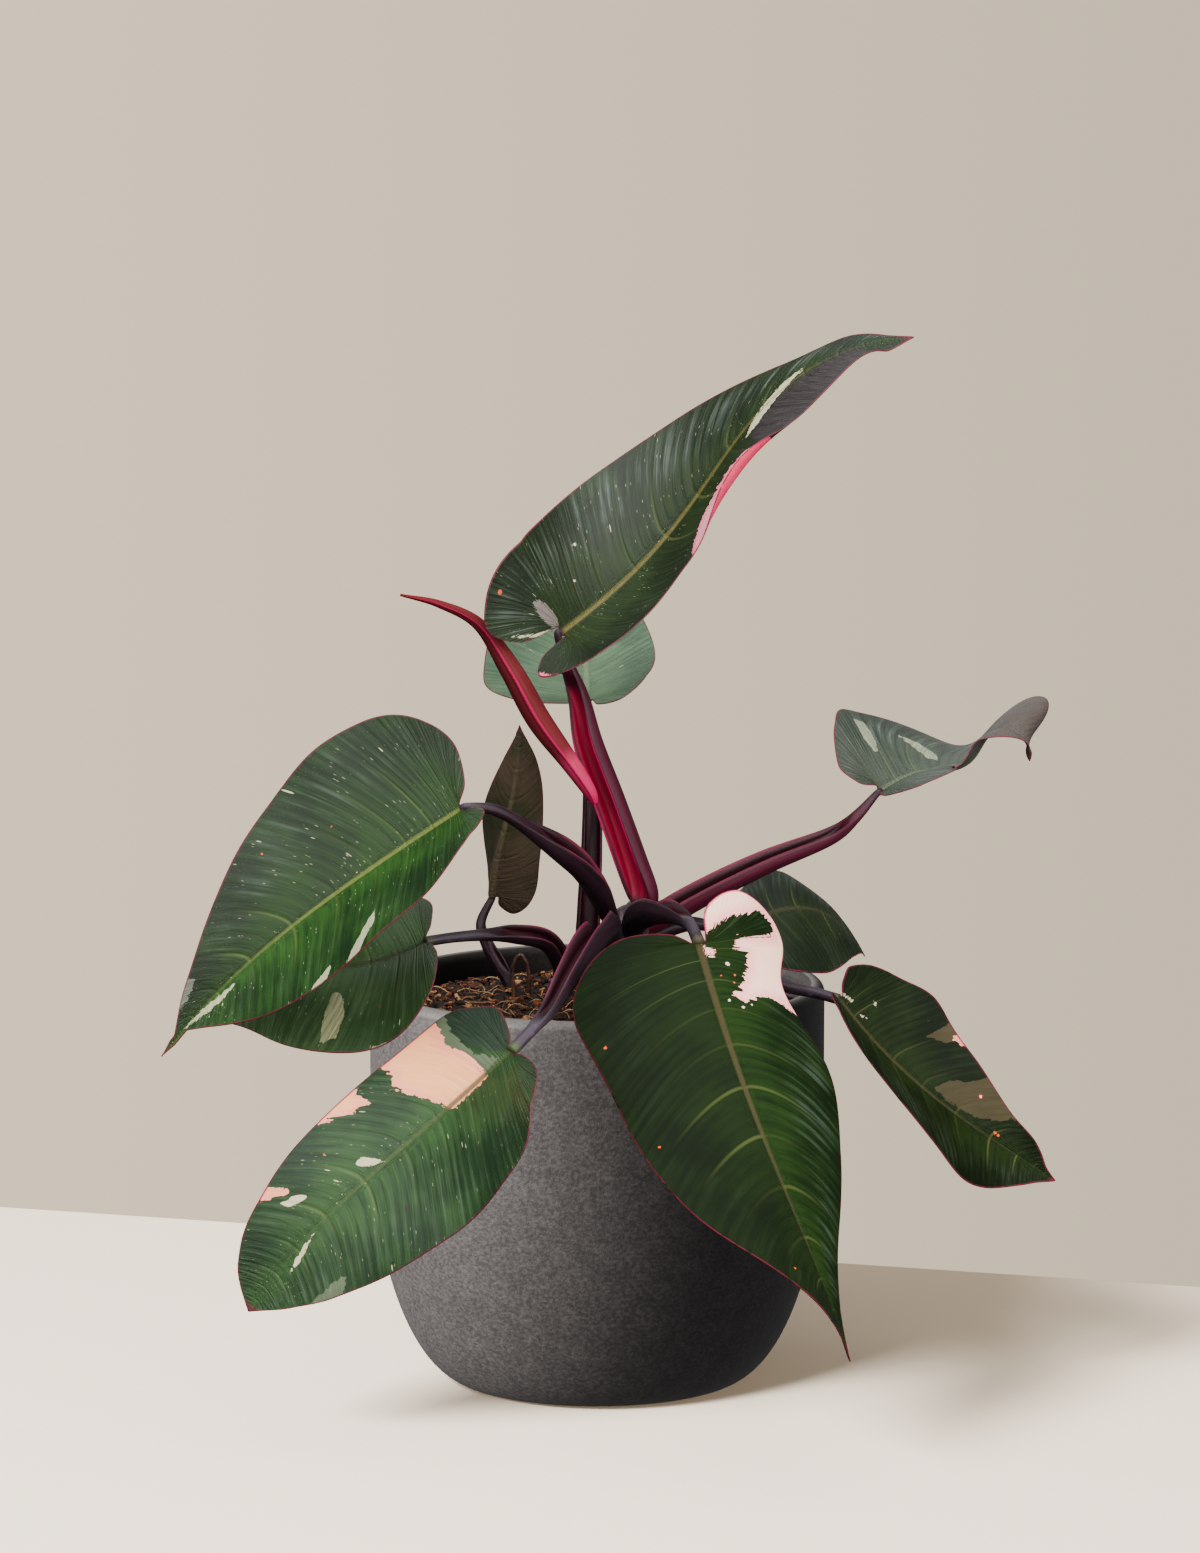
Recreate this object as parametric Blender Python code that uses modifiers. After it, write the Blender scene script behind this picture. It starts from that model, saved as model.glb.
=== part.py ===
"""A pink princess philodendron in its round pot.

Frame: metres, +Z up. The origin is the middle of the pot's flat base, on the table.
+X is to the right of the plant as it is usually seen, and -Y is towards the viewer.
Values for the leaves and stalks are in millimetres and degrees.
"""
from math import cos, pi, radians, sin

import bmesh
import bpy
from mathutils import Vector

MM = 0.001
GAP = 0.3 * MM

# Pot: a vertical wall that rounds in to a small flat base
POT_RADIUS = 80 * MM
POT_HEIGHT = 141 * MM
POT_SHOULDER = 85 * MM
POT_BASE_RADIUS = 48 * MM
POT_ROUNDNESS = 1.9
POT_WALL = 6.5 * MM
POT_FLOOR = 7 * MM
POT_STEPS = 56

# Potting mix: fills the pot to 10 mm below the rim, with a low mound
SOIL_EDGE = 131 * MM
SOIL_MOUND = 4.5 * MM
SOIL_STEPS = 36

# Leaf blades and stalks
BLADE_THICKNESS = 0.8 * MM
MIDRIB_THICKNESS = 2.2 * MM
SECTION_BACK = 8
SECTION_GROOVE = 5

# The blade starts at the stalk as a short straight edge, twice this wide, and its midrib tapers from there
MIDRIB_HALF = 2.4 * MM
TIP_HALF = 1.2 * MM          # least half width of a blade before its very tip

# One half of a leaf seen flat: along, across and the midrib point that its side vein leaves.
# Along is in leaf lengths, or in lobe lengths where it is negative; across is in half widths.
OUTLINE = (
    (0.00, 0.04, 0.0), (-0.62, 0.20, 0.0), (-1.0, 0.52, 0.0), (-0.72, 0.82, 0.0), (-0.02, 0.97, 0.015),
    (0.13, 1.0, 0.06), (0.30, 0.96, 0.17), (0.48, 0.83, 0.33), (0.66, 0.61, 0.53), (0.81, 0.35, 0.73),
    (0.91, 0.14, 0.87), (0.955, 0.055, 0.94), (1.0, 0.006, 1.0),
)
LONG_LOBE = 18


def half(width, lobe, fold, curl, fullness=0.0, wave=(0.0, 3.0, 0.0), edge=(0,), trim=(0,)):
    """One side of a blade: fold is its slope at the midrib and curl how much it bends towards the margin.

    Fullness widens it near the tip, and edge rolls the outer half of it up, at stations from base to tip.
    Trim moves the margin out or in by millimetres, at even steps round it from the joint to the tip.
    """
    return dict(width=width, lobe=lobe, fold=fold, curl=curl, fullness=fullness, wave=wave, edge=edge,
                trim=(0, *trim, 0))


def leaf(joint, length, heading, pitch, roll, left, right, grid=(17, 5), color=(0.030, 0.052, 0.024)):
    """A blade from its joint with the stalk: heading, pitch and roll of the midrib from base to tip."""
    return dict(joint=joint, length=length, heading=heading, pitch=pitch, roll=roll,
                left=left, right=right, grid=grid, color=color)


LEAVES = {
    "top": leaf(
        (-12.4, -4.0, 264.8), 169, heading=(35, -15, -16), pitch=(29, 55, 4), roll=(55, 52, 53), grid=(21, 6),
        left=half(36, 26, (36, -10), (2, -8), -0.10, (0.03, 2.0, 0.3),
                  trim=(-1, -1, 2.5, 0.5, 0, -2.5, -6, 1.5, 1.5)),
        right=half(34, 22, (38, -3), (35, 5), 0.16, edge=(0, 0, 0, 0, 75, 195, 150, 0, 0),
                   trim=(-2.5, -4.5, 0, 0, -0.5, -0.5, -2, -6.5, -0.5))),
    "left": leaf(
        (-45.7, -52.0, 209.9), 133, heading=(183, 193, 187), pitch=(-32, -36, -52), roll=(-36, -42, -70),
        left=half(46.5, 7, (34, 7), (-4, 5), 0.0, (0.02, 3, 0.1),
                  trim=(0, -2, 0, 2, -0.5, -1, -1, -5, -5.5)),
        right=half(44.5, 9, (23, 19), (8, 0), -0.05, (0.02, 3.5, 0.4),
                   trim=(-0.5, -2, -2.5, 2.5, 1.5, -2, -3.5, -1.5, -1))),
    "left_lower": leaf(
        (-58.5, -40.0, 162.2), 92, heading=(181, 182, 182), pitch=(-28, -3, -58), roll=(-22, -56, -46),
        left=half(38.5, 3, (22, 6), (-31, -17), 0.10, (0.04, 2.5, 0.2),
                  trim=(1, -2, 2, 1, 0.5, -1.5, -1, -1, -0.5)),
        right=half(35.5, 6, (9, 8), (-20, -15), trim=(1.5, -0.5, 0, 0, 0, 0, 0, 0, 0)), grid=(14, 5), color=(0.022, 0.036, 0.018)),
    "bottom_left": leaf(
        (-28.4, -98.0, 135.2), 125, heading=(174, 193, 173), pitch=(-44, -40, -57), roll=(-51, -58, -75),
        left=half(44.5, 7, (33, 2), (-8, -21), 0.12, (0.03, 3, 0.6),
                  trim=(2.5, 1, 0, 2.5, -1, -2, -1, 1.5, 2)),
        right=half(32, 4, (0, 6), (-25, -24), 0.20, (0.02, 3.2, 0.15),
                   trim=(-1, -2, -3, 2, -1, -0.5, 0.5, 3.5, 3.5))),
    "front": leaf(
        (34.1, -80.0, 168.9), 159, heading=(-71, -63, -37), pitch=(-48, -46, -68), roll=(4, 7, -26),
        left=half(41.5, 21.5, (2, -1), (-58, -45), 0.0, (0.03, 3, 0.35),
                  trim=(-2.5, 0, 1.5, -11, 1.5, -0.5, -1, -0.5, 0.5)),
        right=half(46, 8, (-6, 18), (-34, -37), 0.10, (0.03, 3, 0.75),
                   trim=(0, 0, -0.5, 2.5, -2, 1, 2.5, -0.5, 0.5)), grid=(19, 6)),
    "right_curled": leaf(
        (99.8, 12.0, 206.7), 72.5, heading=(35, 32, 2, -12, -29, 24), pitch=(25, 14, 7, 60, -15, -101),
        roll=(26, 9, -5, -9, 4, -26),
        left=half(33, 9, (45, 18, 25), (-5, -16), 0.40, (0.02, 3, 0.4),
                  trim=(0, -3, -1.5, 0.5, 0.5, 0.5, 1.5, 2, -1)),
        right=half(28, 6, (46, 6, -4), (-16, -24), -0.10, trim=(-0.5, -1, 0, 0.5, 0.5, 0.5, 2.5, 1, 0)), grid=(20, 6), color=(0.070, 0.090, 0.070)),
    "small_back": leaf(
        (-37.5, 30.0, 166.8), 72, heading=(-80, -63, -83), pitch=(61, 62, 77), roll=(-44, -26, 0),
        left=half(15.5, 6, (15, 10), (18, 8), 0.10, (0.04, 2.5, 0.1)),
        right=half(12.5, 5, (38, 16), (38, 11), 0.05), grid=(12, 4), color=(0.060, 0.052, 0.032)),
    "back_right": leaf(
        (54.4, 22.0, 158.3), 57, heading=(9, 37, 19), pitch=(29, -19, -65), roll=(28, 45, 20),
        left=half(25, 12, (-1, -6), (-35, -26), 0.10, (0.04, 2.5, 0.3)),
        right=half(30, 10, (7, 6), (-22, -17), 0.20), grid=(13, 5)),
    "right_lower": leaf(
        (82.8, -45.0, 142.9), 100, heading=(-7, 10, -26), pitch=(-53, -39, -28), roll=(22, 47, 60),
        left=half(27, 6, (20, 22), (-4, 18), 0.0, (0.03, 3, 0.5),
                  trim=(1, -3, -2, 0.5, 3, -0.5, -1.5, 1.5, 0.5)),
        right=half(38.5, 5, (32, 22), (-8, 5), 0.20, trim=(0, 0, -0.5, 0.5, 0, 0, 1, -0.5, -1)), grid=(15, 5)),
    "back_top": leaf(
        (-4.0, 36.0, 235.4), 104, heading=(88, 95, 84), pitch=(21, 37, 28), roll=(-6, 5, 0),
        left=half(37.5, 6, (19, 7), (-17, -10), 0.0, (0.04, 2.5, 0.3)),
        right=half(26, 9, (20, 6), (2, -10)), grid=(14, 5), color=(0.110, 0.150, 0.100)),
}


def stalk(points, widths, groove, opens, bend=0.0, color=(0.045, 0.018, 0.028)):
    """A leaf stalk: half widths and groove depth from base to blade; the groove faces 'opens'.

    With a bend it turns into the blade's direction that far before the joint.
    """
    return dict(points=points, widths=widths, groove=groove, opens=opens, bend=bend, color=color)


# Each stalk starts 2 or 3 mm inside the stem, where the stem's clearance trims it, or deep in the soil
STALKS = {
    "top": stalk(
        ((16.9, 0, 167.5), (16.2, -0.5, 173), (12.4, -1, 184), (4.8, -2, 205.7), (-2.4, -3, 225.2), (-6, -2, 241),
         (-10, -1, 252)),
        (4.4, 5.5, 5.6, 5.4, 5.1, 3.8, 2.6), (0, 0.6, 0.9, 1, 1, 0.7, 0.1), (-0.75, -1.0, 0.1), 4.5,
        (0.110, 0.008, 0.030)),
    "left": stalk(
        ((6.5, 0, 161), (0.5, -12, 174.5), (-5, -24, 184.5), (-13, -34, 193), (-26, -43, 203.5), (-35, -48.5, 209)),
        (3.6, 5.0, 5.0, 4.6, 2.6, 2.1), (0, 0.9, 1, 1, 0.2, 0), (0.5, -0.6, 1.0), 4.0),
    "left_lower": stalk(
        ((-14, -12, 121), (-14, -12, 137.5), (-12, -13, 147), (-17.4, -19, 158), (-28.5, -27, 162),
         (-37.8, -32, 163), (-49, -37, 163)),
        (2.9, 2.9, 3.6, 3.7, 3.3, 2.3, 1.9), (0, 0, 0.6, 1, 0.9, 0.1, 0), (0.4, -0.8, 1.0)),
    "bottom_left": stalk(
        ((5, -4, 150), (4.5, -13, 157.5), (3, -28, 164.5), (-2.5, -47, 162.5), (-9, -67, 155.5), (-15, -83, 147.5),
         (-21.5, -92, 141.5)),
        (3.2, 4.6, 5.6, 5.4, 4.3, 3.2, 2.2), (0, 0.8, 1, 1, 1, 0.9, 0), (-0.6, -0.8, 0.9)),
    "front": stalk(
        ((12, -4, 158.5), (14, -14, 165), (20, -35, 171.5), (27, -58, 174), (31.5, -71, 173)),
        (3.4, 4.8, 5.4, 3.6, 2.2), (0, 0.9, 1, 0.7, 0), (0.1, -0.2, 1.0)),
    "right_curled": stalk(
        ((13.5, 1.5, 158), (25, 2.5, 164.5), (42, 3.5, 173.8), (60.8, 6, 182.5), (82, 9, 190.8),
         (91, 9, 198)),
        (3.4, 4.8, 4.7, 4.2, 3.2, 2.2), (0, 0.9, 1, 1, 0.8, 0), (-0.35, -0.5, 1.0), 4.5),
    "small_back": stalk(
        ((-31, 18, 121), (-31, 18, 135), (-35, 20, 143), (-39.2, 23, 150), (-41.5, 28, 157)),
        (2.2, 2.2, 2.6, 2.3, 1.8), (0, 0, 0.8, 0.6, 0), (0.6, -0.8, 0.2), 4.0),
    "back_right": stalk(
        ((8, 3, 151), (20, 10, 156), (33, 14, 159), (45, 18.5, 157)),
        (3.0, 3.6, 2.8, 2.0), (0, 0.8, 0.5, 0), (-0.2, -0.3, 1.0)),
    "right_lower": stalk(
        ((7, -2, 150), (19, -9, 152.5), (36, -20, 154), (51, -30, 150.5), (65.4, -38, 146), (75, -42, 144.5)),
        (3.0, 3.6, 3.4, 3.0, 2.3, 2.0), (0, 0.8, 0.8, 0.6, 0.1, 0), (0.2, -0.4, 1.0)),
    "back_top": stalk(
        ((1, 2, 145), (-3.2, 10, 151), (-3, 13.5, 164), (-2, 18, 185), (-1.8, 23, 205.6), (-2.6, 27, 220)),
        (3.0, 4.2, 4.2, 3.8, 3.3, 2.6), (0, 0.8, 1, 1, 0.8, 0.2), (0.1, -1.0, 0.2), 5.5),
}

# Stem: upright in the soil, then leaning to the right, ringed where leaves have joined it
STEM_POINTS = ((0, 0, 112), (0, 0, 124), (0, 0, 136), (2, 0, 145), (6.5, 0, 154), (11.5, 0, 161), (15.5, 0, 165.5))
STEM_RADII = (6.5, 6.5, 6.5, 7.0, 7.2, 7.4, 5.4)
RING_COUNT = 5
RING_HEIGHT = 0.5

# New leaf: still rolled, rising from the sheath of the top stalk
SPEAR_POINTS = ((-0.9, -8.8, 205.5), (-3, -9.2, 210), (-9.8, -9.2, 220), (-20.7, -9, 235), (-30.3, -8.5, 252.3),
                (-41, -8, 267.9), (-54.5, -8, 275), (-68.3, -8, 278.4))
SPEAR_RADII = (1.6, 2.8, 3.8, 4.9, 4.4, 2.6, 1.6, 0.5)
SPEAR_STEP = 0.22

# A dried root arching out of the soil and the stub of an old leaf stalk
ROOT_POINTS = ((-29.5, 4, 122), (-29.5, 4, 136), (-29.8, 4, 145), (-27, 4, 149.5), (-24.5, 4, 145), (-24, 4, 136),
               (-24, 4, 122))
ROOT_RADIUS = 0.7
STUB_POINTS = ((-15, -2, 122), (-15, -2, 136), (-15.4, -2.4, 139.5), (-16.2, -3, 142))
STUB_RADII = (2.6, 2.6, 2.4, 0.9)


def smooth_value(values, u):
    """Catmull-Rom curve through equally spaced values, at u from 0 to 1."""
    count = len(values) - 1
    if count == 0:
        return values[0]
    place = min(max(u, 0.0), 1.0) * count
    i = min(int(place), count - 1)
    f = place - i
    b, c = values[i], values[i + 1]
    a = values[i - 1] if i > 0 else b * 2 - c
    d = values[i + 2] if i + 2 <= count else c * 2 - b
    return b + 0.5 * f * (c - a + f * (2 * a - 5 * b + 4 * c - d + f * (3 * (b - c) + d - a)))


def make_material(name, color, roughness, metallic=0.0):
    material = bpy.data.materials.new(name)
    material.use_nodes = True
    shader = material.node_tree.nodes["Principled BSDF"]
    shader.inputs["Base Color"].default_value = (*color, 1.0)
    shader.inputs["Roughness"].default_value = roughness
    shader.inputs["Metallic"].default_value = metallic
    return material


def add_object(name, mesh, collection, material=None):
    obj = bpy.data.objects.new(name, mesh)
    collection.objects.link(obj)
    if material:
        mesh.materials.append(material)
    return obj


def close_mesh(bm, name):
    """Turn every face outwards, split it into triangles and hand over the mesh."""
    bmesh.ops.remove_doubles(bm, verts=bm.verts, dist=0.00001)
    bmesh.ops.triangulate(bm, faces=bm.faces)
    bmesh.ops.recalc_face_normals(bm, faces=bm.faces)
    mesh = bpy.data.meshes.new(name)
    bm.to_mesh(mesh)
    bm.free()
    return mesh


def loft(name, rings):
    """A closed body through rings of points that all have the same count."""
    bm = bmesh.new()
    rows = [[bm.verts.new(point) for point in ring] for ring in rings]
    count = len(rows[0])
    for lower, upper in zip(rows, rows[1:]):
        for i in range(count):
            j = (i + 1) % count
            bm.faces.new((lower[i], lower[j], upper[j], upper[i]))
    bm.faces.new(rows[0][::-1])
    bm.faces.new(rows[-1])
    return close_mesh(bm, name)


def path_frames(points, opens, per_span=2):
    """Positions along a smooth path with the direction of travel, 'up' (the groove) and 'side'."""
    points = [Vector(p) * MM for p in points]
    count = (len(points) - 1) * per_span
    frames = []
    for k in range(count + 1):
        if k == count - 1:
            continue
        u = k / count
        step = 0.25 / count
        ahead = smooth_value(points, min(u + step, 1.0)) - smooth_value(points, max(u - step, 0.0))
        along = ahead.normalized()
        up = Vector(opens)
        up = (up - along * up.dot(along)).normalized()
        frames.append((u, smooth_value(points, u), along, up, along.cross(up)))
    return frames


def round_rings(points, radii, sides, opens=(0, -1, 0), per_span=2, step=0.0):
    """Rings of a round rod; 'step' makes the section a snail, as a rolled leaf has."""
    rings = []
    for u, place, _, up, side in path_frames(points, opens, per_span):
        radius = smooth_value(radii, u) * MM
        ring = []
        for i in range(sides):
            angle = 2 * pi * i / sides
            reach = radius * (1 - step * i / (sides - 1))
            ring.append(place + up * (cos(angle) * reach) + side * (sin(angle) * reach))
        rings.append(ring)
    return rings


def finished_stalk(name, shape):
    """The stalk carried on to its blade, ending just clear of the blade's base edge."""
    joint = Vector(LEAVES[name]["joint"])
    along = Blade(LEAVES[name]).axes(0)[0]
    last = Vector(shape["points"][-1])
    width = shape["widths"][-1]
    if shape["bend"]:
        tail = (tuple(joint - along * shape["bend"]), tuple(joint - along * 0.9))
        width = min(width, 1.8)
    else:
        approach = (joint - last).normalized()
        clear = 0.6 + width * sin(approach.angle(along))
        tail = (tuple(joint - approach.lerp(along, 0.5).normalized() * clear),)
    return dict(shape, points=shape["points"] + tail, widths=shape["widths"] + (width,) * len(tail),
                groove=shape["groove"] + (0,) * len(tail))


def stalk_rings(shape):
    """Rings of a leaf stalk: round where the groove is 0, a deep channel with thin wings where it is 1."""
    rings = []
    wing = radians(128)
    for u, place, _, up, side in path_frames(shape["points"], shape["opens"]):
        wide = smooth_value(shape["widths"], u) * MM
        deep = min(max(smooth_value(shape["groove"], u), 0.0), 1.0)
        tall = wide * (0.95 - 0.12 * deep)
        wall = max(wide * 0.30, 0.75 * MM)
        ring = []
        for i in range(SECTION_BACK):
            angle = -wing + 2 * wing * i / (SECTION_BACK - 1)
            lift = deep * 0.35 * wide * abs(angle / wing) ** 4
            ring.append(place + up * (lift - cos(angle) * tall) + side * (sin(angle) * wide))
        for i in range(SECTION_GROOVE):
            share = (i + 1) / (SECTION_GROOVE + 1)
            over = wing + (2 * pi - 2 * wing) * share
            full = up * (-cos(over) * tall) + side * (sin(over) * wide)
            inner = radians(112) * (1 - 2 * share)
            cut = up * (-cos(inner) * (tall - wall * 1.3)) + side * (sin(inner) * (wide - wall))
            ring.append(place + full.lerp(cut, deep))
        rings.append(ring)
    return rings


class Blade:
    """The curved surface of one leaf, as positions of flat points (along, across)."""

    SPINE_STEPS = 80
    ACROSS_STEPS = 14

    def __init__(self, shape):
        self.shape = shape
        self.length = shape["length"] * MM
        place = Vector(shape["joint"]) * MM
        self.spine = [place]
        for k in range(self.SPINE_STEPS):
            along = self.axes((k + 0.5) / self.SPINE_STEPS)[0]
            place = place + along * (self.length / self.SPINE_STEPS)
            self.spine.append(place)

    def axes(self, u):
        heading = radians(smooth_value(self.shape["heading"], u))
        pitch = radians(smooth_value(self.shape["pitch"], u))
        roll = radians(smooth_value(self.shape["roll"], u))
        along = Vector((cos(pitch) * cos(heading), cos(pitch) * sin(heading), sin(pitch)))
        above = Vector((-sin(pitch) * cos(heading), -sin(pitch) * sin(heading), cos(pitch)))
        side = above.cross(along)
        return along, side * cos(roll) + above * sin(roll), above * cos(roll) - side * sin(roll)

    def on_spine(self, x):
        u = min(max(x / self.length, 0.0), 1.0)
        place = u * self.SPINE_STEPS
        i = min(int(place), self.SPINE_STEPS - 1)
        along, side, above = self.axes(u)
        point = self.spine[i].lerp(self.spine[i + 1], place - i) + along * min(x, 0.0)
        return u, point, side, above

    def margin(self, hand, t):
        """Flat margin point of one half and the midrib point that its side vein leaves."""
        side = self.shape[hand]
        long = min(side["lobe"] / LONG_LOBE, 1.0)
        points = [list(p) for p in OUTLINE]
        points[0][1] = MIDRIB_HALF / MM / side["width"]
        points[3][:2] = -0.45 - 0.27 * long, 0.76 + 0.06 * long
        points[4][:2] = 0.05 - 0.07 * long, 0.925 + 0.045 * long
        for p in points:
            u = max(p[0], 0.0)
            p[0] *= self.length if p[0] > 0 else side["lobe"] * MM
            p[1] = (p[1] + side["fullness"] * 12.2 * u ** 4 * (1 - u)) * side["width"] * MM
        along = smooth_value([p[0] for p in points], t)
        across = smooth_value([p[1] for p in points], t) + smooth_value(side["trim"], t) * MM
        across = max(across, TIP_HALF * min(1.0, 12 * (1 - t)))
        foot = min(max(smooth_value([p[2] for p in points], t), 0.0), 1.0) * self.length
        return along, across, foot

    def point(self, hand, x, y):
        """Position of the flat point x along and y across one half."""
        side = self.shape[hand]
        width = side["width"] * MM
        u, place, across, above = self.on_spine(x)
        fold, curl = (radians(smooth_value(side[key], u)) for key in ("fold", "curl"))
        edge = radians(smooth_value(side["edge"], u))
        out = rise = 0.0
        for i in range(self.ACROSS_STEPS):
            q = (i + 0.5) / self.ACROSS_STEPS * y / width
            near = min(max((q - 0.55) / 0.45, 0.0), 1.2)
            slope = fold + curl * q + edge * near * near * (3 - 2 * min(near, 1.0))
            out += cos(slope) * y / self.ACROSS_STEPS
            rise += sin(slope) * y / self.ACROSS_STEPS
        size, count, start = side["wave"]
        rise += size * width * (y / width) ** 2 * sin(2 * pi * (count * x / self.length + start))
        return place + across * (out if hand == "left" else -out) + above * rise


def blade_object(name, shape, collection):
    """Both halves as one open surface, thickened downwards and more at the midrib."""
    blade = Blade(shape)
    stations, columns = shape["grid"]
    bm = bmesh.new()
    group = bm.verts.layers.deform.verify()
    thin = BLADE_THICKNESS / MIDRIB_THICKNESS

    def add_point(hand, station, column):
        """Column 0 is the midrib's crest, column 1 its foot, and the others lead out to the margin."""
        t = station / (stations - 1)
        along, across, foot = blade.margin(hand, t)
        share = max(column - 1, 0) / (columns - 1)
        x = foot + (along - foot) * share ** 1.45
        taper = (1 - foot / blade.length) ** 0.6
        inner = min(MIDRIB_HALF * taper, across * 0.5) if t > 0.2 else MIDRIB_HALF
        y = inner + (across - inner) * share if column else 0.0
        vert = bm.verts.new(blade.point(hand, x, y))
        vert[group][0] = thin + (1 - thin) * taper * taper if column == 0 else thin
        return vert

    for hand in ("left", "right"):
        grid = [[add_point(hand, i, j) for j in range(columns + 1)] for i in range(stations)]
        for i in range(stations - 1):
            for j in range(columns):
                corners = [grid[i][j], grid[i][j + 1], grid[i + 1][j + 1], grid[i + 1][j]]
                bm.faces.new(corners if hand == "right" else corners[::-1])
    bmesh.ops.remove_doubles(bm, verts=bm.verts, dist=0.00005)
    bmesh.ops.dissolve_degenerate(bm, edges=bm.edges, dist=0.00005)
    bmesh.ops.triangulate(bm, faces=bm.faces)
    mesh = bpy.data.meshes.new("blade_" + name)
    bm.to_mesh(mesh)
    bm.free()
    obj = add_object("blade_" + name, mesh, collection, make_material("leaf_" + name, shape["color"], 0.35))
    obj.vertex_groups.new(name="midrib")
    solid = obj.modifiers.new("thickness", "SOLIDIFY")
    solid.thickness = MIDRIB_THICKNESS
    solid.offset = -1
    solid.vertex_group = "midrib"
    return obj


def pot_wall(height, radius, base):
    """Radius of the pot at a height: vertical above the shoulder, a soft curve below it."""
    if height >= POT_SHOULDER:
        return radius
    drop = 1 - height / POT_SHOULDER
    return base + (radius - base) * (1 - drop ** POT_ROUNDNESS) ** (1 / POT_ROUNDNESS)


def pot_profile():
    """From the middle of the inside floor up, over the rounded lip and down the outside."""
    inner = POT_RADIUS - POT_WALL
    lip = POT_WALL / 2
    points = [(0.0, POT_FLOOR)]
    for k in range(7):
        height = POT_FLOOR + (POT_SHOULDER - POT_FLOOR) * (k / 6) ** 1.6
        points.append((pot_wall(height, inner, POT_BASE_RADIUS - POT_WALL), height))
    for k in range(7):
        angle = pi - pi * k / 6
        points.append((POT_RADIUS - lip + lip * cos(angle), POT_HEIGHT - lip + lip * sin(angle)))
    for k in range(9):
        height = POT_SHOULDER * (1 - k / 9) ** 1.5 + 1.2 * MM * (k / 9)
        points.append((pot_wall(height, POT_RADIUS, POT_BASE_RADIUS), height))
    points += [(POT_BASE_RADIUS - 0.6 * MM, 0.0), (0.0, 0.0)]
    return points


def pot_object(collection):
    points = pot_profile()
    mesh = bpy.data.meshes.new("pot")
    mesh.from_pydata([(r, 0, z) for r, z in points], [(i, i + 1) for i in range(len(points) - 1)], [])
    obj = add_object("pot", mesh, collection, make_material("pot_glaze", (0.085, 0.080, 0.076), 0.55))
    screw = obj.modifiers.new("turn", "SCREW")
    screw.axis = "Z"
    screw.steps = screw.render_steps = POT_STEPS
    screw.use_merge_vertices = True
    screw.merge_threshold = 0.0001
    return obj


def soil_object(collection):
    """The potting mix: an uneven top, and below it the inside of the pot less a small gap."""
    inner = POT_RADIUS - POT_WALL - GAP
    bm = bmesh.new()
    rows = []
    for k in range(8):
        share = (k + 1) / 8
        row = []
        for i in range(SOIL_STEPS):
            angle = 2 * pi * i / SOIL_STEPS
            x, y = inner * share * cos(angle), inner * share * sin(angle)
            bumps = sin(x * 310 + 1) * sin(y * 270 + 2) + 0.6 * sin(x * 520 + y * 430)
            top = SOIL_EDGE + SOIL_MOUND * (1 - share * share) + 1.1 * MM * bumps * (1 - share ** 6)
            row.append(bm.verts.new((x, y, top)))
        rows.append(row)
    for height in (SOIL_EDGE - 1 * MM, POT_SHOULDER, 55 * MM, 32 * MM, 16 * MM, POT_FLOOR + GAP):
        reach = pot_wall(height - GAP, inner, POT_BASE_RADIUS - POT_WALL - GAP) - 1.2 * MM
        rows.append([bm.verts.new((reach * cos(2 * pi * i / SOIL_STEPS), reach * sin(2 * pi * i / SOIL_STEPS), height))
                     for i in range(SOIL_STEPS)])
    for upper, lower in zip(rows, rows[1:]):
        for i in range(SOIL_STEPS):
            j = (i + 1) % SOIL_STEPS
            bm.faces.new((upper[i], lower[i], lower[j], upper[j]))
    middle = bm.verts.new((0, 0, SOIL_EDGE + SOIL_MOUND))
    for i in range(SOIL_STEPS):
        bm.faces.new((middle, rows[0][i], rows[0][(i + 1) % SOIL_STEPS]))
    bm.faces.new(rows[-1][::-1])
    return add_object("soil", close_mesh(bm, "soil"), collection, make_material("potting_mix", (0.060, 0.032, 0.018), 0.9))


def add_cutter(name, mesh, collection):
    obj = add_object(name, mesh, collection)
    obj.hide_render = True
    obj.display_type = "WIRE"
    return obj


def cut(obj, cutter):
    boolean = obj.modifiers.new("cut_" + cutter.name, "BOOLEAN")
    boolean.operation = "DIFFERENCE"
    boolean.solver = "EXACT"
    boolean.object = cutter


def hole_cutter(name, x, y, radius, collection, floor=112):
    """A plain round hole in the soil for something that stands in it."""
    bm = bmesh.new()
    bmesh.ops.create_cone(bm, cap_ends=True, segments=18, radius1=radius * MM + GAP, radius2=radius * MM + GAP,
                          depth=50 * MM)
    bmesh.ops.translate(bm, verts=bm.verts, vec=(x * MM, y * MM, floor * MM - GAP + 25 * MM))
    return add_cutter(name, close_mesh(bm, name), collection)


def longer(points, more):
    """The same path, carried on at its end."""
    last, before = Vector(points[-1]), Vector(points[-2])
    return points[:-1] + (tuple(last + (last - before).normalized() * more),)


def stem_radii(extra=0.0):
    """Stem radii at twice the path's stations, with low rings at the leaf scars."""
    count = len(STEM_RADII) * 4
    return [smooth_value(STEM_RADII, k / count) + extra + RING_HEIGHT * max(0.0, cos(2 * pi * RING_COUNT * k / count)) ** 6
            * (k > count * 0.35) for k in range(count + 1)]


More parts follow.
